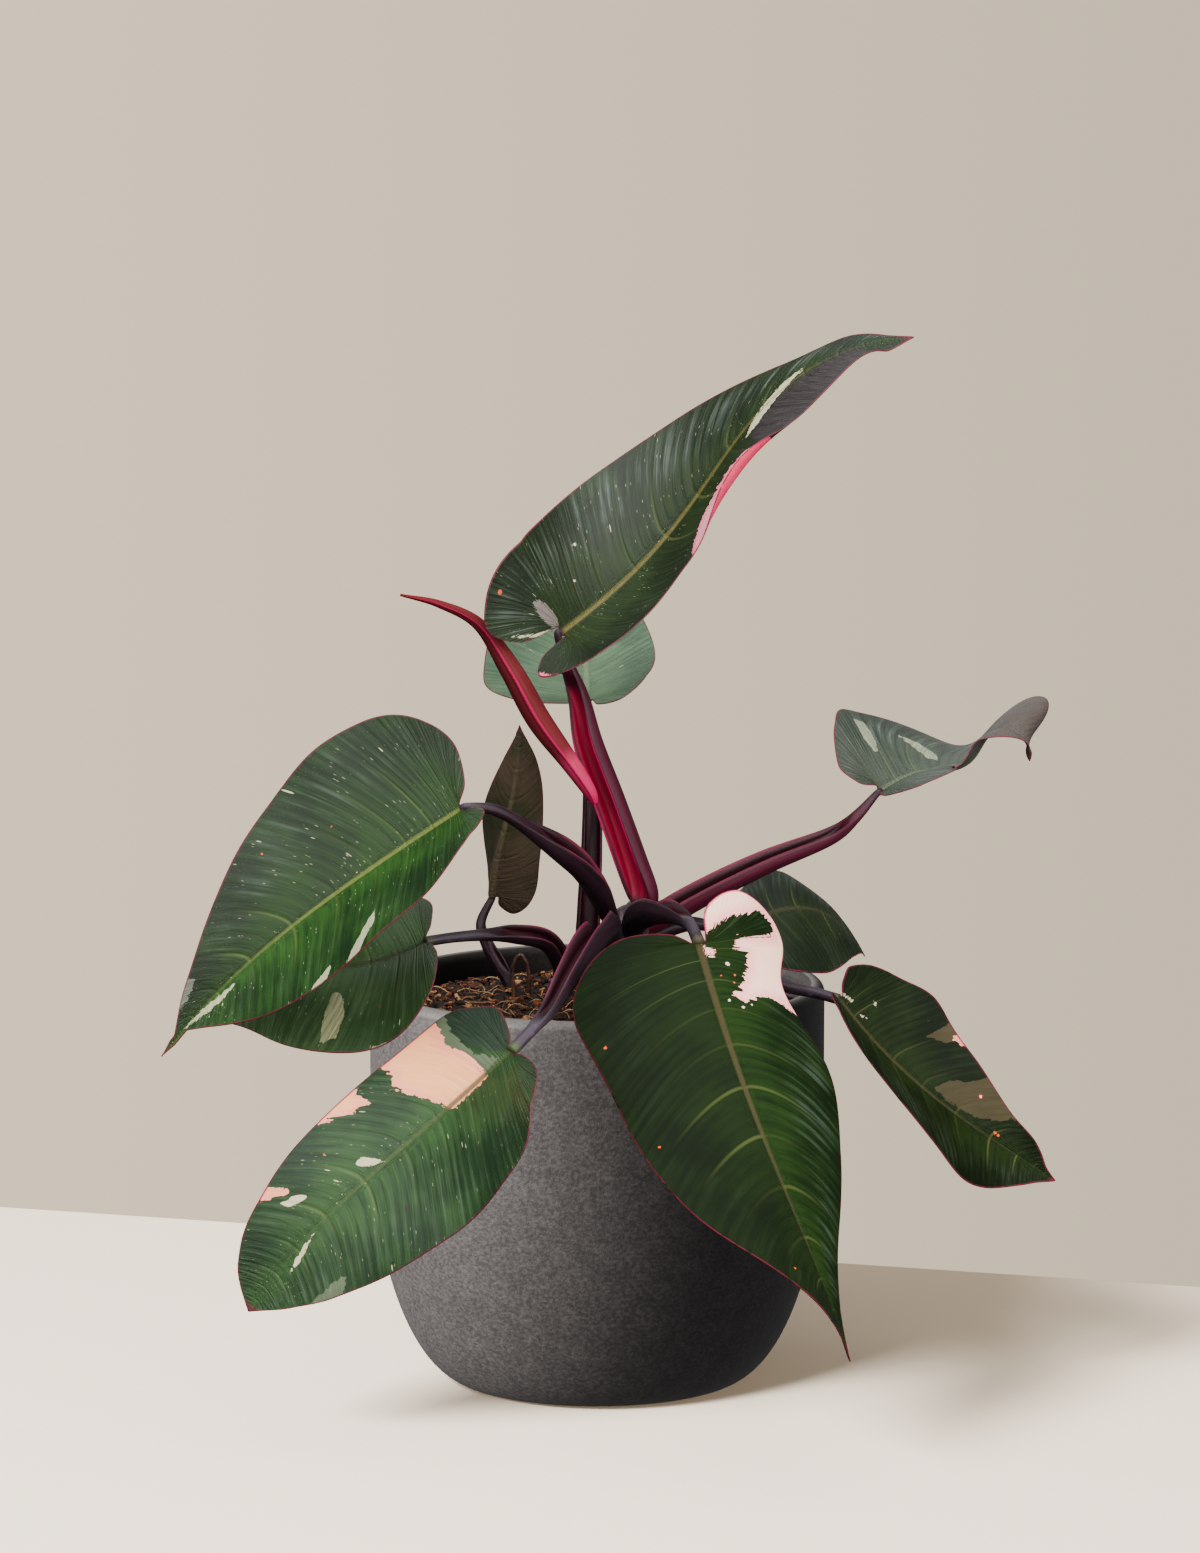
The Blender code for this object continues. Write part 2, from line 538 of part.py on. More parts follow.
def main():
    for obj in list(bpy.data.objects):
        bpy.data.objects.remove(obj, do_unlink=True)
    parts = bpy.data.collections.new("potted_philodendron")
    cutters = bpy.data.collections.new("cutters")
    for collection in (parts, cutters):
        bpy.context.scene.collection.children.link(collection)

    pot_object(parts)
    soil = soil_object(parts)

    bark = make_material("stem_skin", (0.050, 0.030, 0.034), 0.6)
    add_object("stem", loft("stem", round_rings(STEM_POINTS, stem_radii(), 14, per_span=3)), parts, bark)
    clearance = add_cutter("stem_clearance", loft("stem_clearance", round_rings(
        longer(STEM_POINTS, 0.5), stem_radii(0.4), 14, per_span=3)), cutters)
    cut(soil, hole_cutter("stem_hole", 0, 0, 6.6, cutters))

    for name, shape in STALKS.items():
        mesh = loft("stalk_" + name, stalk_rings(finished_stalk(name, shape)))
        obj = add_object("stalk_" + name, mesh, parts, make_material("stalk_" + name, shape["color"], 0.4))
        x, y, z = shape["points"][0]
        if z < SOIL_EDGE / MM:
            cut(soil, hole_cutter("hole_" + name, x, y, shape["widths"][0], cutters, floor=z))
        else:
            cut(obj, clearance)
    for name, shape in LEAVES.items():
        blade_object(name, shape, parts)

    add_object("new_leaf", loft("new_leaf", round_rings(SPEAR_POINTS, SPEAR_RADII, 12, step=SPEAR_STEP)), parts,
               make_material("new_leaf", (0.42, 0.020, 0.075), 0.35))
    add_object("dried_root", loft("dried_root", round_rings(ROOT_POINTS, (ROOT_RADIUS,), 8)), parts,
               make_material("root_skin", (0.16, 0.05, 0.03), 0.7))
    add_object("old_stub", loft("old_stub", round_rings(STUB_POINTS, STUB_RADII, 10)), parts,
               make_material("stub_skin", (0.10, 0.02, 0.05), 0.6))
    for label, points, radius in (("root_left", ROOT_POINTS[0], ROOT_RADIUS), ("root_right", ROOT_POINTS[-1], ROOT_RADIUS),
                                  ("stub", STUB_POINTS[0], STUB_RADII[0])):
        cut(soil, hole_cutter("hole_" + label, points[0], points[1], radius, cutters, floor=points[2]))


main()
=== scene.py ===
"""The looks of a pink princess philodendron in its pot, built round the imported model.

The leaves, stalks, rolled new leaf, stem and pot are made again from the solids' own measures at a finer
step, with veins, pink and cream marks, sheaths, bark mix and glaze. Places are in metres, and the leaf
and stalk tables are in millimetres and degrees.
"""

import random
from math import cos, pi, radians, sin

import bmesh
import bpy
import numpy as np
from mathutils import Matrix, Vector


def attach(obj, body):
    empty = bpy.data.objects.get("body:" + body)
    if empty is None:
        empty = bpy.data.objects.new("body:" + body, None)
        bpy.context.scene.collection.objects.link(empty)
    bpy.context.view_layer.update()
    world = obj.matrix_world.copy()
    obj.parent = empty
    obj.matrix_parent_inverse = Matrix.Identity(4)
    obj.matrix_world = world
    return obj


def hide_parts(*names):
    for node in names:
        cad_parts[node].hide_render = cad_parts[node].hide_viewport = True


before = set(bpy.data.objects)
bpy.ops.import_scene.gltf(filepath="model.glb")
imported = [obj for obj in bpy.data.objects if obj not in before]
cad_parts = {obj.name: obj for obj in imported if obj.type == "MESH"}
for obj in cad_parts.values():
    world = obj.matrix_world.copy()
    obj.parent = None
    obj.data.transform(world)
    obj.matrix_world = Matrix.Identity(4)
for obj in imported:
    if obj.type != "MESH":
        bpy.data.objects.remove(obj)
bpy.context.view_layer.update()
MM = 0.001

# Camera: 8 degrees down, straight at the front
CAMERA_PLACE = (0.001, -1.7825, 0.4642)
CAMERA_TILT = 8.0
CAMERA_LENS = 119.2

# Pot
POT_RADIUS = 80 * MM
POT_HEIGHT = 141 * MM
POT_SHOULDER = 85 * MM
POT_BASE_RADIUS = 48 * MM
POT_ROUNDNESS = 1.9
POT_WALL = 6.5 * MM
POT_FLOOR = 7 * MM
SOIL_EDGE = 131 * MM
SOIL_MOUND = 4.5 * MM
SOIL_SKIRT = 12 * MM

# Leaves
MIDRIB_HALF = 2.4 * MM
TIP_HALF = 1.2 * MM
TIP_STEEPNESS = 12
SPINE_STEPS = 80
ACROSS_STEPS = 14
LONG_LOBE = 18
FULLNESS_SCALE = 12.2
ROLL_START = 0.55
OUTLINE = (
    (0.00, 0.04, 0.0), (-0.62, 0.20, 0.0), (-1.0, 0.52, 0.0), (-0.72, 0.82, 0.0), (-0.02, 0.97, 0.015),
    (0.13, 1.0, 0.06), (0.30, 0.96, 0.17), (0.48, 0.83, 0.33), (0.66, 0.61, 0.53), (0.81, 0.35, 0.73),
    (0.91, 0.14, 0.87), (0.955, 0.055, 0.94), (1.0, 0.006, 1.0),
)
LOBE_CORNERS = ((3, (-0.45, 0.76), (-0.27, 0.06)), (4, (0.05, 0.925), (-0.07, 0.045)))


def tone(red, green, blue):
    """A colour as it is read off a screen, 0 to 255, as the light values that shaders use."""
    parts = (red / 255, green / 255, blue / 255)
    return tuple(c / 12.92 if c < 0.0404 else ((c + 0.055) / 1.055) ** 2.4 for c in parts)


def half(width, lobe, fold, curl, fullness=0.0, wave=(0.0, 3.0, 0.0), edge=(0,), trim=(0,)):
    """One side of a blade, as in the solids' own table.

    Width and lobe are in millimetres; fold, curl and edge are angles along the blade; trim moves the
    margin in millimetres; wave is a share of the width, a count and a start.
    """
    return dict(width=width, lobe=lobe, fold=fold, curl=curl, fullness=fullness, wave=wave, edge=edge,
                trim=(0, *trim, 0))


def leaf(joint, length, heading, pitch, roll, left, right, look, veins=18, marks=(), dots=()):
    """A blade from its joint; veins counts the lateral veins of one side.

    Marks are (kind, corners) and dots (colour, along, across, radius), on the flat leaf in millimetres.
    """
    return dict(joint=joint, length=length, heading=heading, pitch=pitch, roll=roll, left=left, right=right,
                look=look, veins=veins, marks=marks, dots=dots)


PLAIN_LOOK = dict(
    pink=(235, 178, 165), blush=(214, 92, 118), cream=(196, 188, 150), dusk=(112, 122, 96),
    shade=(58, 48, 56), rib=(116, 112, 50), edge=(96, 22, 44), flecks=0.35, gloss=0.48, shine=0.2,
    bloom=(0.25, 0.25), dim=(0.0, 0.0))


def look(deep, bright, back, **others):
    """Colours of one leaf: deep and bright green, underside, and those of the plain look that differ.

    Pink, cream, dusk and shade are its marks, blush is the pink's outer side, and edge its margin. Gloss is
    its roughness and shine its specular level. The pale blue-grey painted sheen and the painted shade that
    darkens a half are each given for the left and the right half.
    """
    return dict(PLAIN_LOOK, deep=deep, bright=bright, back=back, **others)


ORANGE = (225, 80, 35)
WINE = (120, 25, 50)

LEAVES = {
    "top": leaf(
        (-12.4, -4.0, 264.8), 169, heading=(35, -15, -16), pitch=(29, 55, 4), roll=(55, 52, 53),
        left=half(36, 26, (36, -10), (2, -8), -0.10, (0.03, 2.0, 0.3),
                  trim=(-1, -1, 2.5, 0.5, 0, -2.5, -6, 1.5, 1.5)),
        right=half(34, 22, (38, -3), (35, 5), 0.16, edge=(0, 0, 0, 0, 75, 195, 150, 0, 0),
                   trim=(-2.5, -4.5, 0, 0, -0.5, -0.5, -2, -6.5, -0.5)),
        look=look((14, 25, 10), (32, 49, 18), (57, 38, 39), pink=(238, 150, 166), blush=(226, 40, 88),
                  shade=(36, 28, 29), dusk=(129, 119, 113), rib=(98, 90, 44), flecks=0.5, shine=0.24,
                  bloom=(0.5, 0.06), dim=(0.05, 0.25)), veins=21,
        marks=(
            ("dusk", ((-5.5, 16), (-2.5, 15), (0.5, 8), (0.5, 3), (-2, 3), (-5, 9))),
            ("cream", ((-19, 10.5), (-16, 8), (-8, 3.6), (-2, 1), (-3, 3.1), (-10, 6))),
            ("pink", ((50, -49), (55, -27.5), (60, -19.5), (66, -14.5), (74, -11.5), (84, -9.5),
                (95.5, -11.5), (103.5, -17.5), (107.5, -21.5), (112, -45.5))),
            ("pink", ((-20, -11.5), (-20.5, -17), (-18.5, -23), (-13.5, -28), (-18.5, -33), (-31.5, -18.5),
                (-27.5, -9))),
            ("shade", ((99.5, -8), (103, -2.8), (125, -1.1), (149.5, 0), (158, -10), (125.5, -39),
                (106, -41.5))),
            ("cream", ((96.5, -5.1), (103, 0), (118, 1.8), (130, 2.2), (114, -1.6), (104.5, -4.8))),
        ),
        dots=((ORANGE, -15.5, 26.5, 1.4), ((214, 190, 180), 15, 12, 0.8),
              ((220, 200, 190), 24.5, 21.5, 0.9))),
    "left": leaf(
        (-45.7, -52.0, 209.9), 133, heading=(183, 193, 187), pitch=(-32, -36, -52), roll=(-36, -42, -70),
        left=half(46.5, 7, (34, 7), (-4, 5), 0.0, (0.02, 3, 0.1),
                  trim=(0, -2, 0, 2, -0.5, -1, -1, -5, -5.5)),
        right=half(44.5, 9, (23, 19), (8, 0), -0.05, (0.02, 3.5, 0.4),
                   trim=(-0.5, -2, -2.5, 2.5, 1.5, -2, -3.5, -1.5, -1)),
        look=look((16, 38, 13), (39, 75, 23), (69, 51, 44), cream=(160, 164, 129), pink=(232, 196, 178),
                  dusk=(110, 112, 101), rib=(98, 106, 44), flecks=0.5, shine=0.16, bloom=(0.08, 0.22),
                  dim=(0, 0.58)), veins=18,
        marks=(
            ("cream", ((45, 27.5), (48.5, 29), (53.5, 32.5), (60, 35), (68, 39), (62.5, 40.5), (54, 36.5),
                (47.5, 33))),
            ("cream", ((66.5, 29.5), (70.5, 30), (80.5, 31), (78.5, 32.5), (72, 33.5))),
            ("cream", ((97, 2.6), (104, 3.6), (112, 2.5), (121, 0), (112, 0.3), (104, 1.4))),
            ("dusk", ((106, -8.2), (108, -12), (117, -9), (121, -4.6), (114, -5.6))),
        ),
        dots=((ORANGE, 63.5, -26.5, 0.6), ((176, 70, 60), 40, -20.5, 0.5))),
    "left_lower": leaf(
        (-58.5, -40.0, 162.2), 92, heading=(181, 182, 182), pitch=(-28, -3, -58), roll=(-22, -56, -46),
        left=half(38.5, 3, (22, 6), (-31, -17), 0.10, (0.04, 2.5, 0.2),
                  trim=(1, -2, 2, 1, 0.5, -1.5, -1, -1, -0.5)),
        right=half(35.5, 6, (9, 8), (-20, -15), trim=(1.5, -0.5, 0, 0, 0, 0, 0, 0, 0)),
        look=look((32, 53, 26), (55, 80, 40), (66, 47, 42), cream=(106, 110, 74), rib=(50, 52, 28),
                  flecks=0.35, shine=0.22, bloom=(0.15, 0)),
        veins=15,
        marks=(
            ("cream", ((31, 13), (34, 11.5), (36.5, 18), (38.5, 25), (39, 31), (34, 30), (31, 22))),
            ("cream", ((20, 38.5), (24, 37.5), (25.5, 44), (19, 44))),
        ),
        dots=((WINE, 20, 24, 0.6), (WINE, 12, 18, 0.5))),
    "bottom_left": leaf(
        (-28.4, -98.0, 135.2), 125, heading=(174, 193, 173), pitch=(-44, -40, -57), roll=(-51, -58, -75),
        left=half(44.5, 7, (33, 2), (-8, -21), 0.12, (0.03, 3, 0.6),
                  trim=(2.5, 1, 0, 2.5, -1, -2, -1, 1.5, 2)),
        right=half(32, 4, (0, 6), (-25, -24), 0.20, (0.02, 3.2, 0.15),
                   trim=(-1, -2, -3, 2, -1, -0.5, 0.5, 3.5, 3.5)),
        look=look((24, 43, 24), (47, 76, 38), (76, 60, 50), pink=(255, 172, 112), blush=(244, 132, 124),
                  dusk=(93, 104, 80), shade=(24, 42, 28), rib=(64, 78, 42), flecks=0.5, shine=0.2,
                  bloom=(0.25, 0.12), dim=(0, 0.1)), veins=18,
        marks=(
            ("pink", ((28, 2.1), (12, 2), (12, -1.7), (13.5, -11), (17.5, -20.5), (16.5, -27.5),
                (15, -40.5), (41, -39), (38, -30), (36.5, -23), (39.5, -20.5), (36.5, -14), (31, -5.5))),
            ("dusk", ((15, -40.5), (17.5, -27.5), (18.5, -20.5), (14.5, -11), (13, -0.7), (5, -1.1),
                (10.5, -9), (12.5, -17), (13.5, -24), (12.5, -41.5))),
            ("pink", ((47.5, -32.5), (49, -26), (47, -19.5), (54, -21.5), (58.5, -24), (65.5, -27),
                (68, -32.5))),
            ("pink", ((86, -16.5), (88, -15.5), (94, -19), (99, -24), (96, -29), (90, -22))),
            ("cream", ((83, -10), (85, -9.2), (90.5, -12.2), (91, -14.5), (86, -13))),
            ("shade", ((-8, -48), (-8, -1), (2, -1.5), (9, -9), (12, -17), (14, -24), (13, -46))),
            ("cream", ((56.5, -0.5), (62, -2.8), (64.5, -6), (62.5, -7.5), (59, -4.5))),
            ("cream", ((89, 0.9), (96, 1.3), (105.5, 3.7), (100, 4.1))),
            ("dusk", ((92.5, 19.5), (95, 18), (103, 17), (112, 15.5), (113, 21), (101.5, 25))),
        ),
        dots=((ORANGE, 70, -16.5, 0.7), (ORANGE, 96, 2.7, 0.6), ((44, 40, 32), 61, 19, 2.2),
              ((30, 26, 26), 77.5, 28.5, 1.2))),
    "front": leaf(
        (34.1, -80.0, 168.9), 159, heading=(-71, -63, -37), pitch=(-48, -46, -68), roll=(4, 7, -26),
        left=half(41.5, 21.5, (2, -1), (-58, -45), 0.0, (0.03, 3, 0.35),
                  trim=(-2.5, 0, 1.5, -11, 1.5, -0.5, -1, -0.5, 0.5)),
        right=half(46, 8, (-6, 18), (-34, -37), 0.10, (0.03, 3, 0.75),
                   trim=(0, 0, -0.5, 2.5, -2, 1, 2.5, -0.5, 0.5)),
        look=look((12, 25, 9), (29, 49, 16), (51, 36, 35), pink=(255, 202, 178), blush=(240, 128, 146),
                  rib=(66, 58, 38), flecks=-0.6, shine=0.03, bloom=(0.24, 0.02), dim=(0.12, 0.60)), veins=20,
        marks=(
            ("pink", ((-2, 0.7), (-30, -3.3), (-32.5, 25.5), (-24.5, 70), (23, 67), (25.5, 30), (23.5, 26),
                (22, 19.5), (25, 10), (22, 6.5), (20, 10.5), (15, 12.5), (11, 15), (4.5, 17), (3, 12),
                (-1.5, 14.5), (-2.5, 22.5), (-5.5, 32.5), (-10.5, 34.5), (-15, 29.5), (-12, 19.5), (-9, 12),
                (-3, 3.8))),
            ("pink", ((1.5, 1), (4.5, 4.9), (6.5, 3.4), (5, 1))),
        ),
        dots=((ORANGE, 29.5, -40.5, 0.9), (ORANGE, 72.5, -34.5, 0.8), (ORANGE, 126.5, -14, 0.7),
              (ORANGE, 14, 9.5, 0.7), (ORANGE, 17, 8.5, 0.6), (ORANGE, 14, 4.5, 0.5),
              ((240, 215, 205), 9.5, 8, 1.2), ((238, 210, 200), 24, 4.8, 0.8),
              ((238, 210, 200), 27, 9, 0.9), ((238, 210, 200), 26, 12.5, 0.6))),
    "right_curled": leaf(
        (99.8, 12.0, 206.7), 72.5, heading=(35, 32, 2, -12, -29, 24), pitch=(25, 14, 7, 60, -15, -101),
        roll=(26, 9, -5, -9, 4, -26),
        left=half(33, 9, (45, 18, 25), (-5, -16), 0.40, (0.02, 3, 0.4),
                  trim=(0, -3, -1.5, 0.5, 0.5, 0.5, 1.5, 2, -1)),
        right=half(28, 6, (46, 6, -4), (-16, -24), -0.10, trim=(-0.5, -1, 0, 0.5, 0.5, 0.5, 2.5, 1, 0)),
        # Painted sheen: this leaf's greens are greyed, standing in for the sheen of the bright surroundings
        # on its face
        look=look((40, 46, 38), (66, 75, 62), (74, 64, 60), cream=(112, 120, 100), shade=(66, 56, 52),
                  rib=(84, 92, 70), flecks=-0.2, gloss=0.5, shine=0.2, bloom=(0.6, 0.5)), veins=13,
        marks=(
            ("cream", ((9.5, 29), (13.5, 27.5), (12, 20), (9.5, 13), (7.5, 13), (7, 20))),
            ("cream", ((20, 22.5), (23.5, 19.5), (26.5, 12), (26, 6.9), (23.5, 7.5), (22, 14.5))),
            ("shade", ((51, -26), (50, 28), (86, 34), (90, -34))),
        )),
    "small_back": leaf(
        (-37.5, 30.0, 166.8), 72, heading=(-80, -63, -83), pitch=(61, 62, 77), roll=(-44, -26, 0),
        left=half(15.5, 6, (15, 10), (18, 8), 0.10, (0.04, 2.5, 0.1)),
        right=half(12.5, 5, (38, 16), (38, 11), 0.05),
        look=look((22, 30, 18), (38, 49, 26), (70, 58, 46), rib=(92, 82, 62), flecks=-0.1,
                  gloss=0.42), veins=13),
    "back_right": leaf(
        (54.4, 22.0, 158.3), 57, heading=(9, 37, 19), pitch=(29, -19, -65), roll=(28, 45, 20),
        left=half(25, 12, (-1, -6), (-35, -26), 0.10, (0.04, 2.5, 0.3)),
        right=half(30, 10, (7, 6), (-22, -17), 0.20),
        look=look((14, 22, 11), (28, 37, 19), (62, 44, 39), rib=(52, 50, 28), flecks=-0.1, shine=0.12,
                  bloom=(0.2, 0.05)), veins=12),
    "right_lower": leaf(
        (82.8, -45.0, 142.9), 100, heading=(-7, 10, -26), pitch=(-53, -39, -28), roll=(22, 47, 60),
        left=half(27, 6, (20, 22), (-4, 18), 0.0, (0.03, 3, 0.5),
                  trim=(1, -3, -2, 0.5, 3, -0.5, -1.5, 1.5, 0.5)),
        right=half(38.5, 5, (32, 22), (-8, 5), 0.20, trim=(0, 0, -0.5, 0.5, 0, 0, 1, -0.5, -1)),
        look=look((10, 17, 6), (24, 36, 13), (50, 34, 31), cream=(160, 150, 132), dusk=(66, 58, 40),
                  pink=(224, 150, 128), blush=(206, 92, 80), rib=(54, 50, 30), flecks=-0.1, shine=0.05,
                  bloom=(0.02, 0.1)), veins=16,
        marks=(
            ("cream", ((-3, 2.2), (0, 3.6), (4, 4.7), (4, 3.8), (0, 2.4))),
            ("cream", ((9, 3.4), (12, 4.4), (12, 3.9), (9, 2.8))),
            ("cream", ((9, 11.5), (12, 10), (12.5, 11), (10, 12))),
            ("dusk", ((33, 16), (37, 17.5), (42, 19.5), (45.5, 23), (48.5, 33.5), (40, 31.5), (37, 22))),
            ("pink", ((42.5, 22), (49, 21.5), (53.5, 27), (46.5, 29.5))),
            ("dusk", ((47.5, 3), (50, 8), (55, 11), (60, 15), (65, 22), (70, 24), (76.5, 17), (78, 11),
                (73, 6.5), (66.5, 3.6), (58, 2.4), (52, 2))),
        ),
        dots=((WINE, 62.5, 10, 1.5), ((236, 214, 190), 62.5, 10, 0.8), (ORANGE, 73.5, 2.4, 0.9),
              (ORANGE, 75, 2.2, 0.8))),
    "back_top": leaf(
        (-4.0, 36.0, 235.4), 104, heading=(88, 95, 84), pitch=(21, 37, 28), roll=(-6, 5, 0),
        left=half(37.5, 6, (19, 7), (-17, -10), 0.0, (0.04, 2.5, 0.3)),
        right=half(26, 9, (20, 6), (2, -10)),
        # Painted sheen: this leaf's greens are pale grey-green, standing in for the sheen of the bright
        # surroundings on its upper face
        look=look((52, 73, 51), (86, 109, 81), (92, 83, 69), rib=(103, 119, 89), flecks=0.12, gloss=0.45),
        veins=16),
}


PLAIN_STALK = dict(skin=(30, 19, 27), sheath=(40, 8, 18), wing=(112, 38, 62), flush=(34, 18, 26))


def stalk(points, widths, groove, opens, bend=0.0, **tones):
    """A leaf stalk as in the solids' table, with the tones of its skin, sheath, sheath edges and flanks."""
    return dict(PLAIN_STALK, points=points, widths=widths, groove=groove, opens=opens, bend=bend, **tones)


STALKS = {
    "top": stalk(
        ((16.9, 0, 167.5), (16.2, -0.5, 173), (12.4, -1, 184), (4.8, -2, 205.7), (-2.4, -3, 225.2),
         (-6, -2, 241), (-10, -1, 252)),
        (4.4, 5.5, 5.6, 5.4, 5.1, 3.8, 2.6), (0, 0.6, 0.9, 1, 1, 0.7, 0.1), (-0.75, -1.0, 0.1), 4.5,
        skin=(40, 18, 28), sheath=(150, 8, 52), wing=(206, 16, 92), flush=(62, 8, 30)),
    "left": stalk(
        ((6.5, 0, 161), (0.5, -12, 174.5), (-5, -24, 184.5), (-13, -34, 193), (-26, -43, 203.5),
         (-35, -48.5, 209)),
        (3.6, 5.0, 5.0, 4.6, 2.6, 2.1), (0, 0.9, 1, 1, 0.2, 0), (0.5, -0.6, 1.0), 4.0),
    "left_lower": stalk(
        ((-14, -12, 121), (-14, -12, 137.5), (-12, -13, 147), (-17.4, -19, 158), (-28.5, -27, 162),
         (-37.8, -32, 163), (-49, -37, 163)),
        (2.9, 2.9, 3.6, 3.7, 3.3, 2.3, 1.9), (0, 0, 0.6, 1, 0.9, 0.1, 0), (0.4, -0.8, 1.0)),
    "bottom_left": stalk(
        ((5, -4, 150), (4.5, -13, 157.5), (3, -28, 164.5), (-2.5, -47, 162.5), (-9, -67, 155.5),
         (-15, -83, 147.5), (-21.5, -92, 141.5)),
        (3.2, 4.6, 5.6, 5.4, 4.3, 3.2, 2.2), (0, 0.8, 1, 1, 1, 0.9, 0), (-0.6, -0.8, 0.9),
        skin=(44, 34, 44)),
    "front": stalk(
        ((12, -4, 158.5), (14, -14, 165), (20, -35, 171.5), (27, -58, 174), (31.5, -71, 173)),
        (3.4, 4.8, 5.4, 3.6, 2.2), (0, 0.9, 1, 0.7, 0), (0.1, -0.2, 1.0), sheath=(52, 10, 24)),
    "right_curled": stalk(
        ((13.5, 1.5, 158), (25, 2.5, 164.5), (42, 3.5, 173.8), (60.8, 6, 182.5), (82, 9, 190.8),
         (91, 9, 198)),
        (3.4, 4.8, 4.7, 4.2, 3.2, 2.2), (0, 0.9, 1, 1, 0.8, 0), (-0.35, -0.5, 1.0), 4.5, skin=(40, 16, 26),
        sheath=(40, 12, 20), wing=(120, 26, 56), flush=(64, 8, 30)),
    "small_back": stalk(
        ((-31, 18, 121), (-31, 18, 135), (-35, 20, 143), (-39.2, 23, 150), (-41.5, 28, 157)),
        (2.2, 2.2, 2.6, 2.3, 1.8), (0, 0, 0.8, 0.6, 0), (0.6, -0.8, 0.2), 4.0),
    "back_right": stalk(
        ((8, 3, 151), (20, 10, 156), (33, 14, 159), (45, 18.5, 157)),
        (3.0, 3.6, 2.8, 2.0), (0, 0.8, 0.5, 0), (-0.2, -0.3, 1.0)),
    "right_lower": stalk(
        ((7, -2, 150), (19, -9, 152.5), (36, -20, 154), (51, -30, 150.5), (65.4, -38, 146),
         (75, -42, 144.5)),
        (3.0, 3.6, 3.4, 3.0, 2.3, 2.0), (0, 0.8, 0.8, 0.6, 0.1, 0), (0.2, -0.4, 1.0)),
    "back_top": stalk(
        ((1, 2, 145), (-3.2, 10, 151), (-3, 13.5, 164), (-2, 18, 185), (-1.8, 23, 205.6), (-2.6, 27, 220)),
        (3.0, 4.2, 4.2, 3.8, 3.3, 2.6), (0, 0.8, 1, 1, 0.8, 0.2), (0.1, -1.0, 0.2), 5.5),
}

STEM_POINTS = ((0, 0, 112), (0, 0, 124), (0, 0, 136), (2, 0, 145), (6.5, 0, 154), (11.5, 0, 161),
               (15.5, 0, 165.5))
STEM_RADII = (6.5, 6.5, 6.5, 7.0, 7.2, 7.4, 5.4)
RING_COUNT = 5
RING_HEIGHT = 0.5

SPEAR_POINTS = ((-0.9, -8.8, 205.5), (-3, -9.2, 210), (-9.8, -9.2, 220), (-20.7, -9, 235),
                (-30.3, -8.5, 252.3), (-41, -8, 267.9), (-54.5, -8, 275), (-68.3, -8, 278.4))
SPEAR_RADII = (1.6, 2.8, 3.8, 4.9, 4.4, 2.6, 1.6, 0.5)
SPEAR_STEP = 0.22

ROOT_POINTS = ((-29.5, 4, 122), (-29.5, 4, 136), (-29.8, 4, 145), (-27, 4, 149.5), (-24.5, 4, 145),
               (-24, 4, 136), (-24, 4, 122))
ROOT_RADIUS = 0.7
STUB_POINTS = ((-15, -2, 122), (-15, -2, 136), (-15.4, -2.4, 139.5), (-16.2, -3, 142))
STUB_RADII = (2.6, 2.6, 2.4, 0.9)


# Curves and surfaces

def smooth_value(values, u):
    """Catmull-Rom curve through equally spaced values or points, at every u from 0 to 1."""
    values = np.asarray(values, float)
    u = np.asarray(u, float)
    if len(values) == 1:
        return np.broadcast_to(values[0], u.shape + values.shape[1:])
    place = np.clip(u, 0, 1) * (len(values) - 1)
    i = np.minimum(place.astype(int), len(values) - 2)
    f = (place - i).reshape(u.shape + (1,) * (values.ndim - 1))
    ends = np.concatenate((2 * values[:1] - values[1:2], values, 2 * values[-1:] - values[-2:-1]))
    a, b, c, d = (ends[i + k] for k in range(4))
    return b + 0.5 * f * (c - a + f * (2 * a - 5 * b + 4 * c - d + f * (3 * (b - c) + d - a)))


def unit(vectors):
    return vectors / np.maximum(np.linalg.norm(vectors, axis=-1, keepdims=True), 1e-12)


def bell(value, width):
    return np.exp(-(value / width) ** 2)


